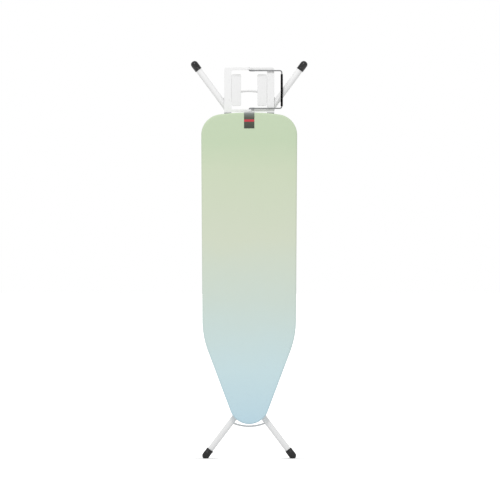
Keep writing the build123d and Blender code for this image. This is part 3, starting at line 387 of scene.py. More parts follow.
def walk_outline(arcs):
    """Points and outward directions round the board, in its plane, from the nose up the right side."""
    walked = []
    for centre, radius, start, stop in arcs:
        first = centre + radius * direction(start)
        last = walked[-1][0] if walked else first
        if (first - last).length > 2 * OUTLINE_STEP:
            count = int((first - last).length / OUTLINE_STEP)
            walked += [(last.lerp(first, i / count), direction(start)) for i in range(1, count)]
        count = max(2, int(radius * (stop - start) / OUTLINE_STEP))
        angles = [start + (stop - start) * i / count for i in range(count + 1)]
        fresh = [(centre + radius * direction(a), direction(a)) for a in angles]
        touches = walked and (fresh[0][0] - walked[-1][0]).length < OUTLINE_STEP / 4
        walked += fresh[1:] if touches else fresh
    mirrored = [(Vector((-p.x, p.y)), Vector((-n.x, n.y))) for p, n in walked[-2:0:-1]]
    return walked + mirrored


outline = walk_outline(outline_arcs())
outline_run = [0.0]
for (a, _), (b, _) in zip(outline, outline[1:]):
    outline_run.append(outline_run[-1] + (b - a).length)
print("outline", len(outline), "points,", round(outline_run[-1], 3), "m round")

# %% [markdown]
# Two moves make every ring of the soft goods from this outline: a point is drawn in and set at a depth
# behind the face, and a point on the face is moved on towards the board's middle line.


# %% Points on rings
def board_point(index, inset, depth):
    """Point on a ring: the outline drawn in by an inset, at a depth behind the face."""
    place, outward = outline[index]
    drawn = place - outward * inset
    return Vector((drawn.x, face_y + depth, drawn.y))


def towards_spine(point, share):
    """Move a point from its ring towards the board's middle line."""
    middle = Vector((0, point.y, min(max(point.z, nose_z + NOSE_RADIUS), end_z - CORNER_RADIUS)))
    return point.lerp(middle, share)


print("the nose's lowest point:", [round(v, 4) for v in board_point(0, 0.0, 0.0)])

# %% [markdown]
# ## Cotton cover
# A cover is a flat cut of cloth, pulled over the board and drawn tight by an elastic hem at the back. It
# could be simulated, but a stretched cover lies where its board is, so it is modelled: rings from the
# hem, round the edge and in to the middle. On the face the cloth follows the underlay's soft ups and
# downs. At the back it gathers: short ripples, deep where the edge turns and almost none along the
# straights or under the iron rest. The hem's edge is rolled round its elastic.

# %% Gathers and the cover's profile
HEM_DEPTH, HEM_WIDTH = 25.2 * MM, 28.0 * MM
EDGE_ROUND, BACK_ROUND = 7.0 * MM, 3.0 * MM
ROLL_RADIUS, ROLL_STEPS, ROLL_START, ROLL_TURN = 1.6 * MM, 6, -60, 300
RIPPLE_LENGTH, RIPPLE_LIFT, RIPPLE_PULL = 19.0 * MM, 1.6 * MM, 2.0 * MM
RIPPLE_DRIFT, DRIFT_LENGTH = 2.5, 60.0 * MM
STRAIGHT_FROM, STRAIGHT_SHARE = 0.93, 0.25
REST_CLEAR_X = 112.0 * MM
SIDE_INSET, SIDE_DEPTHS = 0.35 * MM, (17.0 * MM, 12.0 * MM)


def gather(index):
    """How far the hem's ripple stands off at this point of the outline, from 0 to 1."""
    place, outward = outline[index]
    if place.y > end_z - 2 * END_BOW and abs(place.x) < REST_CLEAR_X:
        return 0.0
    strength = STRAIGHT_SHARE if abs(outward.x) > STRAIGHT_FROM else 1.0
    run = outline_run[index]
    drift = RIPPLE_DRIFT * noise.noise(Vector((run / DRIFT_LENGTH, 3.0, 0.0)))
    return strength * (0.5 + 0.5 * math.sin(2 * math.pi * run / RIPPLE_LENGTH + drift))


def cover_profile(index):
    """One strip of the cover as (inset, depth) pairs, from the rolled hem to the edge of the face."""
    ripple = gather(index)
    lifted = RIPPLE_LIFT * ripple
    hem_in = HEM_WIDTH - RIPPLE_PULL * ripple
    strip = []
    for step in range(ROLL_STEPS + 1):
        angle = math.radians(ROLL_START + ROLL_TURN * step / ROLL_STEPS)
        strip.append((hem_in - ROLL_RADIUS * math.sin(angle),
                      HEM_DEPTH + lifted - ROLL_RADIUS + ROLL_RADIUS * math.cos(angle)))
    strip.reverse()
    for share in (0.75, 0.5, 0.28):
        strip.append((hem_in * share, HEM_DEPTH + lifted * share))
    for degrees in (0, 30, 60, 90):
        a = math.radians(degrees)
        strip.append((BACK_ROUND * (1 - math.sin(a)), HEM_DEPTH - BACK_ROUND * (1 - math.cos(a))))
    strip += [(SIDE_INSET, depth) for depth in SIDE_DEPTHS]
    for degrees in (0, 18, 36, 54, 72, 90):
        a = math.radians(degrees)
        strip.append((EDGE_ROUND * (1 - math.cos(a)), EDGE_ROUND * (1 - math.sin(a))))
    return strip


profiles = [cover_profile(i) for i in range(len(outline))]
print("cover strips:", len(profiles), "of", len(profiles[0]), "points, from the hem to the face")

# %% [markdown]
# The strips stand side by side round the outline, so their points are already rings. More rings close the
# face towards the middle line.

# %% Sew the cover
FACE_RINGS = 20
SWELL_SIZE, SWELL_HEIGHT = (0.10, 0.16), 0.35 * MM


def face_lift(x, z):
    """Soft ups and downs of the face over its underlay."""
    swell = noise.noise(Vector((x / SWELL_SIZE[0], z / SWELL_SIZE[1], 0.7)))
    return -SWELL_HEIGHT * (1 + swell)


cover_points = []
for step in range(len(profiles[0])):
    cover_points += [board_point(i, *profiles[i][step]) for i in range(len(outline))]
for ring in range(1, FACE_RINGS + 1):
    share = ring / FACE_RINGS
    for i in range(len(outline)):
        point = towards_spine(board_point(i, EDGE_ROUND, 0.0), share)
        point.y += face_lift(point.x, point.z) * min(1.0, 4 * share)
        cover_points.append(point)
ring_count = len(cover_points) // len(outline)
cover = make_piece("cotton_cover_cloth", cover_points, rings_to_faces(ring_count, len(outline)),
                   "board", cotton, "cover_cloth", ["cotton_cover"])

# %% [markdown]
# ## Underlay
# Between cloth and panel lies a 6 mm sheet of needled felt on foam. It shows only from the back, as grey
# discs in the panel's steam holes. A closed slab with a rounded front edge is enough.

# %% Felt underlay
FIBRE_SIZE = 2.2 * MM
felt, tree, shader, place = start_material(
    "needled_felt", "#B9B6AE", 0.97, Sheen_Weight=0.4, Specular_IOR_Level=0.1)
fibre = add_node(tree, "ShaderNodeTexNoise", {
    "Vector": place, "Scale": 1 / FIBRE_SIZE, "Detail": 6.0, "Distortion": 1.2})
put_bump(tree, shader, fibre.outputs["Fac"], 0.4 * MM, 0.7)
fleck = add_node(tree, "ShaderNodeValToRGB", {"Fac": fibre.outputs["Fac"]})
set_stops(fleck, [(0.3, "#A5A298"), (0.7, "#CBC8C0")])
tree.links.new(fleck.outputs["Color"], shader.inputs["Base Color"])

FELT_INSET, FELT_ROUND = 1.6 * MM, 5.0 * MM
FELT_FRONT, FELT_BACK = 1.25 * MM, 7.15 * MM
felt_rings = [(FELT_INSET, FELT_BACK)]
for degrees in (0, 30, 60, 90):
    a = math.radians(degrees)
    felt_rings.append((FELT_INSET + FELT_ROUND * (1 - math.cos(a)),
                       FELT_FRONT + FELT_ROUND * (1 - math.sin(a))))
steps = range(0, len(outline), 2)
felt_points = [towards_spine(board_point(i, FELT_INSET, FELT_BACK), share)
               for share in (1.0, 0.5) for i in steps]
for inset, depth in felt_rings:
    felt_points += [board_point(i, inset, depth) for i in steps]
felt_points += [towards_spine(board_point(i, *felt_rings[-1]), share)
                for share in (0.5, 1.0) for i in steps]
felt_faces = rings_to_faces(len(felt_points) // len(steps), len(steps))
underlay = make_piece("felt_underlay", felt_points, felt_faces, "board", felt, "underlay_foam",
                      ["foam_underlay"])

# %% [markdown]
# ## Sewn label
# A woven tab is folded over the wide end. It is plain: one red band, woven in across a dark ground. The
# ground is painted lighter towards the fold, where the lamp falls on it: painted light. The band could be a
# second piece, but it is the same cloth, so it is a step in the colour: inside two heights the ground gives
# way to red. Its ribs are really 0.3 mm apart, too fine to show here, so they are drawn 1.1 mm apart.

# %% Label cloth
label_low, label_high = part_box("sewn_label")
LABEL_BAND = (1340.5 * MM, 1349.5 * MM)
LABEL_RIB = 1.1 * MM
# Painted light: the ground lightens from the lower end towards the fold, where the lamp falls on it.
LABEL_PAINTED_LIGHT = [(0.0, "#464A42"), (0.65, "#595B50"), (0.85, "#747A73"), (1.0, "#989C99")]
label_cloth, tree, shader, place = start_material(
    "woven_label", "#595B50", 0.85, Sheen_Weight=0.2, Specular_IOR_Level=0.25)
axes = add_node(tree, "ShaderNodeSeparateXYZ", {"Vector": place})
height = add_node(tree, "ShaderNodeMapRange", {
    "Value": axes.outputs["Z"], "From Min": label_low.z, "From Max": label_high.z})
painted_light = add_node(tree, "ShaderNodeValToRGB", {"Fac": height.outputs["Result"]})
set_stops(painted_light, LABEL_PAINTED_LIGHT)
above = add_node(tree, "ShaderNodeMath", {0: axes.outputs["Z"], 1: LABEL_BAND[0]},
                 operation="GREATER_THAN")
below = add_node(tree, "ShaderNodeMath", {0: axes.outputs["Z"], 1: LABEL_BAND[1]},
                 operation="LESS_THAN")
inside = add_node(tree, "ShaderNodeMath", {0: above.outputs["Value"], 1: below.outputs["Value"]},
                  operation="MULTIPLY")
ground = add_node(tree, "ShaderNodeMix", {"Factor": inside.outputs["Value"]}, data_type="RGBA")
tree.links.new(painted_light.outputs["Color"], ground.inputs["A"])
ground.inputs["B"].default_value = linear("#C8414C")
tree.links.new(ground.outputs["Result"], shader.inputs["Base Color"])
rib = add_node(tree, "ShaderNodeTexWave", {"Vector": place, "Scale": WAVE_PERIOD / LABEL_RIB},
               bands_direction="Z")
put_bump(tree, shader, rib.outputs["Fac"], 0.12 * MM, 0.6)
print("label band", round((LABEL_BAND[1] - LABEL_BAND[0]) / MM, 1), "mm high")

# %% [markdown]
# The tab is a strip that follows the face, turns round the edge and ends at the hem, a cloth's thickness
# above the cotton. Its path is drawn once from the side and repeated across its width. The end's bow
# is added to the path little by little, so that the fold follows the board's edge.

# %% Fold the label
LABEL_LIFT = 1.0 * MM
LABEL_ROWS, LABEL_COLUMNS = 12, 14
LABEL_BACK_DEPTHS = (13.0 * MM, 20.0 * MM)
edge_start = end_z - EDGE_ROUND
label_path = [(label_low.z + (edge_start - label_low.z) * i / LABEL_ROWS, -LABEL_LIFT)
              for i in range(LABEL_ROWS + 1)]
for degrees in (15, 30, 45, 60, 75, 90):
    a = math.radians(degrees)
    label_path.append((edge_start + (EDGE_ROUND + LABEL_LIFT) * math.sin(a),
                       EDGE_ROUND - (EDGE_ROUND + LABEL_LIFT) * math.cos(a)))
label_path += [(end_z + LABEL_LIFT, depth) for depth in LABEL_BACK_DEPTHS]
label_points = []
for z, depth in label_path:
    for column in range(LABEL_COLUMNS + 1):
        x = label_low.x + (label_high.x - label_low.x) * column / LABEL_COLUMNS
        climb = min(1.0, max(0.0, (z - label_low.z) / (end_z - label_low.z)))
        bow = END_BOW * (x / HALF_END) ** 2 * climb
        label_points.append((x, face_y + depth, z - bow))
width = LABEL_COLUMNS + 1
label_faces = [(r * width + c, r * width + c + 1, (r + 1) * width + c + 1, (r + 1) * width + c)
               for r in range(len(label_path) - 1) for c in range(LABEL_COLUMNS)]
label = make_piece("woven_label", label_points, label_faces, "board", label_cloth, "label_cloth",
                   ["sewn_label"])

# %% [markdown]
# ## Turned shapes
# Foot caps, plugs, the lever's grip, the stop's sleeve and the pivot bolts are all round. Each could be a
# curve with a screw modifier, but one small lathe makes them all: a profile of distances along an axis
# and radii, turned in even steps. Profiles are written in millimetres, as on a drawing.


# %% The lathe
def turned(profile, start, axis, segments):
    """Points and faces of a profile of (distance, radius) pairs, turned about an axis."""
    side = axis.orthogonal().normalized()
    other = axis.cross(side).normalized()
    points = []
    for distance, radius in profile:
        for i in range(segments):
            angle = 2 * math.pi * i / segments
            outward = side * math.cos(angle) + other * math.sin(angle)
            points.append(start + axis * distance + outward * radius)
    return points, rings_to_faces(len(profile), segments, closed_ends=True)


def joined(shapes):
    """Points and faces of several shapes as one."""
    points, faces = [], []
    for more, more_faces in shapes:
        faces += [tuple(i + len(points) for i in face) for face in more_faces]
        points += more
    return points, faces


def in_metres(profile):
    """A profile given in millimetres, in metres."""
    return [(distance * MM, radius * MM) for distance, radius in profile]


def arc_profile(start, base, reach, radius, degrees):
    """Part of a profile that closes in to a dome, one (distance, radius) pair for each angle."""
    angles = [math.radians(a) for a in degrees]
    return [(start + reach * math.sin(a), base + radius * math.cos(a)) for a in angles]


dome = arc_profile(0.0, 0.0, 5.0, 10.0, range(0, 91, 30))
print("a dome 5 high and 20 wide:", [(round(t, 1), round(r, 1)) for t, r in dome])

# %% [markdown]
# The foot caps are rubber, pushed over the tubes. Each has a lip at its mouth, two grip grooves and a domed
# tip. The two that carry the board are worn flat by the floor, so no point lies below its height. The
# outer pair is 3 mm shorter at its mouth. The two leg frames' sizes are in millimetres and degrees.

# %% Foot caps
SIDES = (-1, 1)
SIDE_NAMES = {-1: "left", 1: "right"}
LEG_Y = 15.8 * MM
CAP_BACK = 28.5 * MM
CAP_SEGMENTS = 40
LEG_FRAMES = {
    "outer": {"leg_x": 84.0, "bend_z": 1389.0, "cap_z": 1568.5, "splay": 36.5, "trim": 3.0},
    "inner": {"leg_x": 46.0, "bend_z": 179.0, "cap_z": 12.5, "splay": 37.2, "trim": 0.0},
}
cap_profile = [(0.4, 12.6), (0.0, 13.1), (0.0, 14.9), (0.5, 15.3), (2.4, 15.3), (3.2, 14.8)]
for groove in (8.0, 12.5):
    cap_profile += [(groove - 1.1, 14.8), (groove - 0.5, 14.2), (groove + 0.5, 14.2), (groove + 1.1, 14.8)]
cap_profile += [(18.0, 14.8), (24.0, 14.8)]
cap_profile += arc_profile(30.0, 1.5, 14.0, 13.2, range(0, 91, 10))
for frame_name, leg in LEG_FRAMES.items():
    rise = leg["cap_z"] - leg["bend_z"]
    splay = math.radians(leg["splay"])
    spread = leg["leg_x"] + abs(rise) * math.tan(splay)
    profile = in_metres([(max(t, leg["trim"] + t / 4), r) for t, r in cap_profile])
    for side in SIDES:
        axis = Vector((side * math.sin(splay), 0, math.copysign(math.cos(splay), rise)))
        centre = Vector((side * spread * MM, LEG_Y, leg["cap_z"] * MM))
        points, faces = turned(profile, centre - axis * CAP_BACK, axis, CAP_SEGMENTS)
        points = [Vector((p.x, p.y, max(p.z, 0.0))) for p in points]
        make_piece(f"{frame_name}_cap_{SIDE_NAMES[side]}", points, faces, f"{frame_name}_legs", cap_rubber,
                   "black_rubber", [f"{frame_name}_foot_cap_{SIDE_NAMES[side]}"])

# %% [markdown]
# The tubes' other ends are shut by domed plugs. Each pair is one piece: two turned shapes, mirrored by
# their place alone.

# %% Tube plugs
PLUG_HEAD, PLUG_RADIUS, PLUG_SEGMENTS = 2.0 * MM, 12.5 * MM, 32
plug_profile = [(-5.8, 10.4), (0.0, 11.3), (0.0, 12.3), (0.3, 12.5), (1.0, 12.5), (1.4, 12.2)]
plug_profile = in_metres(plug_profile + arc_profile(1.4, 0.2, 1.6, 12.0, range(15, 91, 15)))
for frame_name, outward in (("outer", -1), ("inner", 1)):
    plug_low, plug_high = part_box(f"{frame_name}_tube_plugs")
    tube_end = plug_high.z - PLUG_HEAD if outward > 0 else plug_low.z + PLUG_HEAD
    plug_x = plug_high.x - PLUG_RADIUS
    shapes = [turned(plug_profile, Vector((side * plug_x, LEG_Y, tube_end)), Vector((0, 0, outward)),
                     PLUG_SEGMENTS) for side in SIDES]
    make_piece(f"{frame_name}_domed_plugs", *joined(shapes), f"{frame_name}_legs", black_plastic,
               "black_plastic", [f"{frame_name}_tube_plugs"])

# %% [markdown]
# Where the two leg frames cross, button-head bolts with a round socket join them. A bolt is turned in one
# go, from the chamfered end of its shank, over the head and down into the socket.

# %% Pivot bolts
bolt_low, bolt_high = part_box("scissor_bolts")
BOLT_HEAD, BOLT_SHANK, BOLT_CHAMFER, BOLT_SEGMENTS = 4.2, 70.1, 0.7, 24
bolt_profile = [(-BOLT_SHANK, 2.6), (BOLT_CHAMFER - BOLT_SHANK, 3.0), (0.0, 3.0), (0.0, 7.0), (1.6, 7.0)]
bolt_profile += [(2.8, 6.4), (3.6, 5.2), (4.1, 3.6), (4.1, 2.9), (2.2, 2.7)]
bolt_x = bolt_high.x - BOLT_HEAD * MM
bolt_z = (bolt_low.z + bolt_high.z) / 2
shapes = [turned(in_metres(bolt_profile), Vector((side * bolt_x, LEG_Y, bolt_z)), Vector((side, 0, 0)),
                 BOLT_SEGMENTS) for side in SIDES]
make_piece("button_head_bolts", *joined(shapes), "outer_legs", zinc, "zinc_steel", ["scissor_bolts"])

# %% [markdown]
# The stop's sleeve is a length of silicone tube, pushed over the wire so that the iron's sole plate meets
# nothing hard. It swells a little in the middle, and its cut ends are rounded.

# %% Stop sleeve
sleeve_low, sleeve_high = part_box("iron_stop_sleeve")
SLEEVE_RADIUS, SLEEVE_BORE, SLEEVE_SWELL, SLEEVE_ROUND = 4.4 * MM, 2.6 * MM, 0.25 * MM, 1.0 * MM
SLEEVE_STEPS, SLEEVE_SEGMENTS = 24, 24
sleeve_length = sleeve_high.z - sleeve_low.z
sleeve_end = [(0.0, SLEEVE_BORE), (0.0, SLEEVE_RADIUS - SLEEVE_ROUND),
              (0.35 * SLEEVE_ROUND, SLEEVE_RADIUS - 0.3 * SLEEVE_ROUND)]
sleeve_profile = list(sleeve_end)
for i in range(SLEEVE_STEPS + 1):
    share = i / SLEEVE_STEPS
    swell = SLEEVE_SWELL * math.sin(math.pi * share)
    distance = SLEEVE_ROUND + (sleeve_length - 2 * SLEEVE_ROUND) * share
    sleeve_profile.append((distance, SLEEVE_RADIUS + swell))
sleeve_profile += [(sleeve_length - t, r) for t, r in reversed(sleeve_end)]
sleeve_middle = (sleeve_low + sleeve_high) / 2
sleeve_foot = Vector((sleeve_middle.x, sleeve_middle.y, sleeve_low.z))
points, faces = turned(sleeve_profile, sleeve_foot, Vector((0, 0, 1)), SLEEVE_SEGMENTS)
make_piece("silicone_sleeve", points, faces, "iron_stop", silicone, "black_silicone", ["iron_stop_sleeve"])

# %% [markdown]
# The lever's grip is a soft tube with finger rings. It could be bent wire dipped in plastic, but a moulded
# grip with rings is easier to find by touch under the board.

# %% Lever grip
grip_low, grip_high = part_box("lever_grip")
GRIP_STEPS, GRIP_RINGS, RING_SHARE, GRIP_SEGMENTS = 48, 9, 0.07, 24
grip_length = grip_high.z - grip_low.z
grip_radius = (grip_high.x - grip_low.x) / 2
grip_profile = []
for i in range(GRIP_STEPS + 1):
    share = i / GRIP_STEPS
    from_end = min(share, 1 - share)
    ends = min(1.0, 0.35 + 6.5 * from_end)
    ring = RING_SHARE * math.cos(2 * math.pi * GRIP_RINGS * share) * min(1.0, 4 * from_end)
    grip_profile.append((grip_length * share, grip_radius * ((1 - RING_SHARE) * math.sqrt(ends) + ring)))
grip_middle = (grip_low + grip_high) / 2
grip_foot = Vector((grip_middle.x, grip_middle.y, grip_low.z))
points, faces = turned(grip_profile, grip_foot, Vector((0, 0, 1)), GRIP_SEGMENTS)
make_piece("ringed_lever_grip", points, faces, "height_latch", black_plastic, "black_plastic",
           ["lever_grip"])

# %% [markdown]
# ## Iron rest pads
# The two pads take the hot sole plate. They are moulded in a heat-proof plastic: a plate with rounded
# corners and a tongue behind it, which is riveted to the rail. Shallow ribs keep the iron off the full
# surface. The upper end leans forward to a low lip, highest at its inner corner, so that the iron
# can't slide off the end of the board.


# %% Pad plates
PAD_LOW, PAD_HIGH, PAD_INNER_X, PAD_OUTER_X = 1404.0 * MM, 1531.0 * MM, 32.7 * MM, 70.7 * MM
PAD_DEPTH, PAD_SHEET, PAD_CORNER, PAD_ROUND = 25.9 * MM, 2.6 * MM, 7.0 * MM, 0.9 * MM
PAD_ROWS, PAD_COLUMNS = 48, 40
RIB_PLACES, RIB_SHARE, RIB_HEIGHT = (0.2, 0.36, 0.52, 0.68), 0.022, 0.35 * MM
RIB_END, RIB_FADE = 10.0 * MM, 6.0 * MM
LIP_LENGTH, LIP_HEIGHT, LIP_OUTER_SHARE = 12.0 * MM, 6.0 * MM, 0.4
pad_width = PAD_OUTER_X - PAD_INNER_X


def eased(step, count):
    """Share from 0 to 1 in steps that are short near both ends, where edges are rounded."""
    return 0.5 - 0.5 * math.cos(math.pi * step / count)


def pad_depths(across, z, half):
    """Depths of a pad's front and back at a distance outward from its middle and a height."""
    from_end = min(z - PAD_LOW, PAD_HIGH - z)
    edge = min(from_end, half - abs(across))
    rounding = PAD_ROUND * max(0.0, 1 - edge / PAD_ROUND) ** 2
    share = 0.5 + across / pad_width
    rib = sum(math.exp(-((share - place) / RIB_SHARE) ** 2) for place in RIB_PLACES)
    fade = min(1.0, max(0.0, (from_end - RIB_END) / RIB_FADE))
    lip = LIP_HEIGHT * max(0.0, 1 - (PAD_HIGH - z) / LIP_LENGTH) ** 2
    lip *= 1 - (1 - LIP_OUTER_SHARE) * share
    return PAD_DEPTH + rounding - RIB_HEIGHT * rib * fade - lip, PAD_DEPTH + PAD_SHEET - rounding - lip


def pad_plate(side):
    """Front and back of a pad plate as one closed skin."""
    points, faces = [], []
    middle_x = side * (PAD_INNER_X + PAD_OUTER_X) / 2
    for layer in range(2):
        for row in range(PAD_ROWS + 1):
            z = PAD_LOW + (PAD_HIGH - PAD_LOW) * eased(row, PAD_ROWS)
            into = max(0.0, PAD_CORNER - min(z - PAD_LOW, PAD_HIGH - z))
            half = pad_width / 2 - PAD_CORNER + math.sqrt(max(0.0, PAD_CORNER ** 2 - into ** 2))
            for column in range(PAD_COLUMNS + 1):
                across = half * (2 * eased(column, PAD_COLUMNS) - 1)
                depth = pad_depths(across, z, half)[layer]
                points.append(Vector((middle_x + side * across, face_y + depth, z)))
    per_layer = (PAD_ROWS + 1) * (PAD_COLUMNS + 1)
    wide = PAD_COLUMNS + 1
    for layer_index in range(2):
        for row in range(PAD_ROWS):
            for column in range(PAD_COLUMNS):
                a = layer_index * per_layer + row * wide + column
                faces.append((a, a + 1, a + wide + 1, a + wide))
    rim = list(range(wide)) + [r * wide + PAD_COLUMNS for r in range(1, PAD_ROWS + 1)]
    rim += [PAD_ROWS * wide + c for c in range(PAD_COLUMNS - 1, -1, -1)]
    rim += [r * wide for r in range(PAD_ROWS - 1, 0, -1)]
    for a, b in zip(rim, rim[1:] + rim[:1]):
        faces.append((a, b, b + per_layer, a + per_layer))
    return points, faces


print("a pad plate has", len(pad_plate(1)[0]), "points")

# %% [markdown]
# The tongue is a plain box with sharp edges behind the plate. It could be a piece of its own, but it is
# moulded with the plate, so both are joined before the piece is made. Only the box is shaded flat.

# %% Ribbed pads
TONGUE_XS, TONGUE_ZS = (51.7 * MM, 88.0 * MM), (1420.0 * MM, 1515.0 * MM)
TONGUE_DEPTHS = (28.5 * MM, 30.6 * MM)
BOX_FACES = [(0, 1, 3, 2), (4, 6, 7, 5), (0, 4, 5, 1), (2, 3, 7, 6), (0, 2, 6, 4), (1, 5, 7, 3)]
for side in SIDES:
    tongue = [Vector((x, face_y + depth, z)) for x in sorted(side * x for x in TONGUE_XS)
              for depth in TONGUE_DEPTHS for z in TONGUE_ZS]
    pad = make_piece(f"ribbed_pad_{SIDE_NAMES[side]}", *joined([pad_plate(side), (tongue, BOX_FACES)]),
                     "board", rest_plastic, "rest_pad", [f"iron_rest_pad_{SIDE_NAMES[side]}"])
    for polygon in pad.data.polygons[-len(BOX_FACES):]:
        polygon.use_smooth = False

# %% [markdown]
# ## Things that repeat: stitches and rivets
# A hem has hundreds of stitches and the frame a dozen rivet heads, so Geometry Nodes set them. A stitch
# is a small bead, drawn out along the seam at an even spacing. A rivet head is a flattened bead on
# each place. Both end as plain meshes: the group runs once, and the result is kept.


# %% Node groups for beads
def bead_group(name, follow_path):
    """Group that sets a stretched bead on each point, or along a path at an even spacing."""
    group = bpy.data.node_groups.new(name, "GeometryNodeTree")
    group.interface.new_socket("Geometry", in_out="INPUT", socket_type="NodeSocketGeometry")
    for label_text, kind in (("Size", "NodeSocketVector"), ("Spacing", "NodeSocketFloat"),
                             ("Finish", "NodeSocketMaterial")):
        group.interface.new_socket(label_text, in_out="INPUT", socket_type=kind)
    group.interface.new_socket("Geometry", in_out="OUTPUT", socket_type="NodeSocketGeometry")
    fed, made = group.nodes.new("NodeGroupInput"), group.nodes.new("NodeGroupOutput")
    bead = add_node(group, "GeometryNodeMeshUVSphere", {"Segments": 8, "Rings": 5, "Radius": 0.5})
    setting = {"Points": fed.outputs["Geometry"], "Instance": bead.outputs["Mesh"],
               "Scale": fed.outputs["Size"]}
    if follow_path:
        path = add_node(group, "GeometryNodeMeshToCurve", {"Mesh": fed.outputs["Geometry"]})
        even = add_node(group, "GeometryNodeResampleCurve",
                        {"Curve": path.outputs["Curve"], "Length": fed.outputs["Spacing"]}, mode="LENGTH")
        tangent = add_node(group, "GeometryNodeInputTangent")
        aligned = add_node(group, "FunctionNodeAlignRotationToVector",
                           {"Vector": tangent.outputs["Tangent"]}, axis="Z")
        setting["Points"] = even.outputs["Curve"]
        setting["Rotation"] = aligned.outputs["Rotation"]
    beads = add_node(group, "GeometryNodeInstanceOnPoints", setting)
    real = add_node(group, "GeometryNodeRealizeInstances", {"Geometry": beads.outputs["Instances"]})
    done = add_node(group, "GeometryNodeSetMaterial",
                    {"Geometry": real.outputs["Geometry"], "Material": fed.outputs["Finish"]})
    group.links.new(done.outputs["Geometry"], made.inputs["Geometry"])
    return group


stitch_group = bead_group("running_stitches", True)
rivet_group = bead_group("domed_rivets", False)
print("groups of", len(stitch_group.nodes), "and", len(rivet_group.nodes), "nodes")

# %% [markdown]
# A group needs something to run on: a seed mesh of points, or of edges that make a path. Its inputs are set
# by the sockets' identifiers, because two sockets may share a name. The evaluated mesh is kept as the
# piece, and the seed goes.


# %% Run a group once
def set_beads(name, group, points, edges, size, spacing, finish, body, stands_for=()):
    """Run a bead group once on points or a path, and keep the plain mesh."""
    seed_mesh = bpy.data.meshes.new(name + "_seed")
    seed_mesh.from_pydata([tuple(p) for p in points], edges, [])
    seed = bpy.data.objects.new(name + "_seed", seed_mesh)
    bpy.context.scene.collection.objects.link(seed)
    modifier = seed.modifiers.new("beads", "NODES")
    modifier.node_group = group
    given = {"Size": size, "Spacing": spacing, "Finish": finish}
    for socket in group.interface.items_tree:
        if socket.in_out == "INPUT" and socket.name in given:
            modifier[socket.identifier] = given[socket.name]
    mesh = bpy.data.meshes.new_from_object(seed.evaluated_get(bpy.context.evaluated_depsgraph_get()))
    bpy.data.objects.remove(seed)
    mesh.shade_smooth()
    return place_piece(name, mesh, body, stands_for)


# %% [markdown]
# The hem's thread is a polyester close to the cotton's colour. The seam runs 6 mm from the rolled edge and
# follows the gathers. The label is sewn on with one dark seam just inside its border. The thread's twist is
# drawn 0.8 mm long, twice its real length, so that it shows.

# %% Seams
THREAD_TWIST = 0.8 * MM
HEM_STITCH, HEM_SPACING = (0.7 * MM, 0.7 * MM, 3.4 * MM), 4.6 * MM
HEM_SEAM, HEM_STAND = 6.0 * MM, 0.1 * MM
LABEL_STITCH, LABEL_SPACING = (0.6 * MM, 0.6 * MM, 2.0 * MM), 2.8 * MM
LABEL_SEAM, LABEL_STAND = 2.2 * MM, 0.15 * MM


def spun_thread(name, colour):
    """Polyester thread, spun of twisted strands."""
    material, tree, shader, place = start_material(name, colour, 0.6, Sheen_Weight=0.2)
    twist = add_node(tree, "ShaderNodeTexWave", {"Vector": place, "Scale": WAVE_PERIOD / THREAD_TWIST},
                     bands_direction="DIAGONAL")
    put_bump(tree, shader, twist.outputs["Fac"], 0.1 * MM, 0.5)
    return material


seam = []
for i in range(len(outline)):
    ripple = gather(i)
    hem_in = HEM_WIDTH - RIPPLE_PULL * ripple
    share = 1 - HEM_SEAM / hem_in
    seam.append(board_point(i, hem_in * share, HEM_DEPTH + RIPPLE_LIFT * ripple * share + HEM_STAND))
ring_edges = [(i, (i + 1) % len(seam)) for i in range(len(seam))]
set_beads("hem_seam", stitch_group, seam, ring_edges, HEM_STITCH, HEM_SPACING,
          spun_thread("polyester_thread", "#B7C4AE"), "board")

seam_x, seam_z = label_high.x - LABEL_SEAM, label_low.z + LABEL_SEAM
seam_y = face_y - LABEL_LIFT - LABEL_STAND
label_seam = [(-seam_x, seam_y, edge_start), (-seam_x, seam_y, seam_z),
              (seam_x, seam_y, seam_z), (seam_x, seam_y, edge_start)]
set_beads("label_seam", stitch_group, label_seam, [(0, 1), (1, 2), (2, 3)], LABEL_STITCH, LABEL_SPACING,
          spun_thread("dark_polyester_thread", "#3A3E3C"), "board")

# %% [markdown]
# The rivet heads are pressed domes of plated steel. Those that hold the pads are enamelled with the rest,
# and their front ends are filed flush with the rails. One table gives each row its distance from the
# middle, its depth and its heights in millimetres, and each is set on both sides.

# %% Rivet heads
RIVET_SIZE = (9.0 * MM, 4.2 * MM, 9.0 * MM)
RIVET_END_SIZE = (4.1 * MM, 1.0 * MM, 4.1 * MM)
PAD_RIVET_ZS = (1428.0, 1507.0)
RIVETS = {
    "bracket_rivet_heads": (84.0, 25.5, (390.7, 417.3), RIVET_SIZE, zinc, ["bracket_rivets"]),
    "rail_rivet_heads": (28.5, 25.5, (840.35, 1268.0), RIVET_SIZE, zinc, ["rail_rivets"]),
    "rest_screw_heads": (85.25, 28.6, (1318.0,), RIVET_SIZE, zinc, ["iron_rest_screws"]),
    "pad_rivet_heads": (79.5, 30.6, PAD_RIVET_ZS, RIVET_SIZE, rest_coat, ["pad_rivets"]),
    "pad_rivet_ends": (79.5, 26.0, PAD_RIVET_ZS, RIVET_END_SIZE, rest_coat, []),
}
for rivet_name, (x, depth, heights, size, finish, stood) in RIVETS.items():
    heads = [(side * x * MM, face_y + depth * MM, z * MM) for side in SIDES for z in heights]
    set_beads(rivet_name, rivet_group, heads, [], size, 1.0, finish, "board", stood)

# %% [markdown]
# ## Studio light
# A plain white studio: one even white surround, and one broad lamp above and in front, so that the iron
# stop drops a soft shadow on the rest below it. A surround that is pure white in the picture would
# also light the board too much, so it is white where it is seen and dimmer where it only lights.

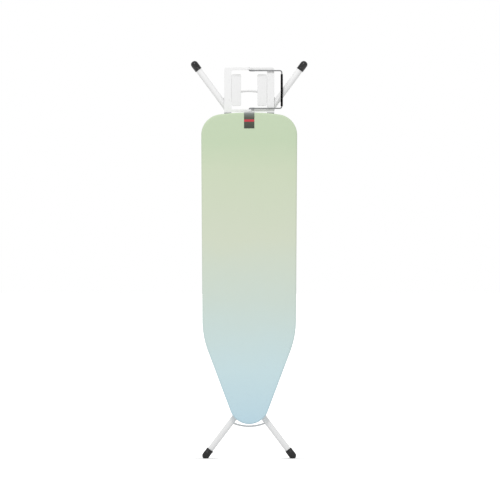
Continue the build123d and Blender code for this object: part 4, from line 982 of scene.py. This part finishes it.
# %% Surround and lamp
SURROUND_LIGHT = 0.72
LAMP_SIZE, LAMP_POWER, LAMP_PLACE = (1.4, 1.0), 95.0, (-0.6, -3.4, 4.6)
LAMP_AIM = Vector((0.0, 0.0, 0.9))
scene = bpy.context.scene
scene.view_settings.view_transform = "Standard"


def seen_directly(tree):
    """Socket that is 1 on the camera's rays, in mirror images and through glass, and else 0."""
    rays = add_node(tree, "ShaderNodeLightPath").outputs
    seen = rays["Is Camera Ray"]
    for kind in ("Is Glossy Ray", "Is Transmission Ray"):
        either = add_node(tree, "ShaderNodeMath", {0: seen, 1: rays[kind]}, operation="MAXIMUM")
        seen = either.outputs["Value"]
    return seen


world = bpy.data.worlds.new("white_studio")
world.use_nodes = True
scene.world = world
tree = world.node_tree
surround = tree.nodes["Background"]
surround.inputs["Color"].default_value = linear("#FFFFFF")
level = add_node(tree, "ShaderNodeMapRange", {
    "Value": seen_directly(tree), "To Min": SURROUND_LIGHT, "To Max": 1.0})
tree.links.new(level.outputs["Result"], surround.inputs["Strength"])

lamp_data = bpy.data.lights.new("overhead_softbox", "AREA")
lamp_data.shape = "RECTANGLE"
lamp_data.size, lamp_data.size_y = LAMP_SIZE
lamp_data.energy = LAMP_POWER
lamp = bpy.data.objects.new("overhead_softbox", lamp_data)
scene.collection.objects.link(lamp)
lamp.location = LAMP_PLACE
lamp.rotation_euler = (LAMP_AIM - lamp.location).to_track_quat("-Z", "Y").to_euler()
print("lamp", LAMP_POWER, "W at", LAMP_PLACE, "surround", SURROUND_LIGHT)

# %% [markdown]
# ## Floor
# The floor runs out of sight on all sides. It could be a shadow catcher, but a painted floor also throws
# light back up at the legs. It is matt paint with a glow on top that is only seen and lights nothing,
# so it is white for the camera and takes a shadow. Near the standing feet the glow is weaker, to
# keep their contact shade.

# %% Floor
FLOOR_HALF = 60.0
FOOT_PLACE = (172 * MM, 16 * MM, 0)
SHADE_NEAR, SHADE_FAR = 40 * MM, 160 * MM
GLOW_NEAR, GLOW_FAR = 0.24, 0.9
floor_mesh = bpy.data.meshes.new("studio_floor")
floor_corners = [(x * FLOOR_HALF, y * FLOOR_HALF, 0) for x, y in ((-1, -1), (1, -1), (1, 1), (-1, 1))]
floor_mesh.from_pydata(floor_corners, [], [(0, 1, 2, 3)])
floor = bpy.data.objects.new("studio_floor", floor_mesh)
scene.collection.objects.link(floor)

floor_paint = bpy.data.materials.new("white_floor_paint")
floor_paint.use_nodes = True
tree = floor_paint.node_tree
tree.nodes.clear()
matt = add_node(tree, "ShaderNodeBsdfDiffuse", {"Color": linear("#E6E6E6")})
place = add_node(tree, "ShaderNodeTexCoord").outputs["Object"]
both_sides = add_node(tree, "ShaderNodeVectorMath", {0: place}, operation="ABSOLUTE")
from_foot = add_node(tree, "ShaderNodeVectorMath", {0: both_sides.outputs["Vector"], 1: FOOT_PLACE},
                     operation="DISTANCE")
brightness = add_node(tree, "ShaderNodeMapRange", {
    "Value": from_foot.outputs["Value"], "From Min": SHADE_NEAR, "From Max": SHADE_FAR,
    "To Min": GLOW_NEAR, "To Max": GLOW_FAR})
lift = add_node(tree, "ShaderNodeMath", {0: seen_directly(tree), 1: brightness.outputs["Result"]},
                operation="MULTIPLY")
glow = add_node(tree, "ShaderNodeEmission", {"Strength": lift.outputs["Value"]})
both = add_node(tree, "ShaderNodeAddShader", {0: matt.outputs["BSDF"], 1: glow.outputs["Emission"]})
add_node(tree, "ShaderNodeOutputMaterial", {"Surface": both.outputs["Shader"]})
floor_mesh.materials.append(floor_paint)
print("floor", 2 * FLOOR_HALF, "m square,", len(tree.nodes), "nodes in its paint")

# %% [markdown]
# ## Camera
# The photograph shows almost no perspective, so a long lens stands sixteen metres back, level with the
# picture's middle. Its focal length follows from how many metres one pixel covers at the board.

# %% Camera
METRES_PER_PIXEL = 3.98 * MM
IMAGE_SIDE = 500
FLOOR_PIXEL_Y, MIDDLE_PIXEL_X = 458.7, 249.2
CAMERA_DISTANCE, FOCUS_Y = 16.0, -8 * MM
SENSOR = 36.0
camera_data = bpy.data.cameras.new("studio_camera")
camera_data.sensor_width = SENSOR
camera_data.lens = SENSOR * CAMERA_DISTANCE / (IMAGE_SIDE * METRES_PER_PIXEL)
camera_data.clip_end = 200.0
camera = bpy.data.objects.new("studio_camera", camera_data)
scene.collection.objects.link(camera)
camera.location = ((IMAGE_SIDE / 2 - MIDDLE_PIXEL_X) * METRES_PER_PIXEL, FOCUS_Y - CAMERA_DISTANCE,
                   (FLOOR_PIXEL_Y - IMAGE_SIDE / 2) * METRES_PER_PIXEL)
camera.rotation_euler = (math.radians(90), 0, 0)
scene.camera = camera
print("lens", round(camera_data.lens, 1), "mm at", [round(v, 3) for v in camera.location])
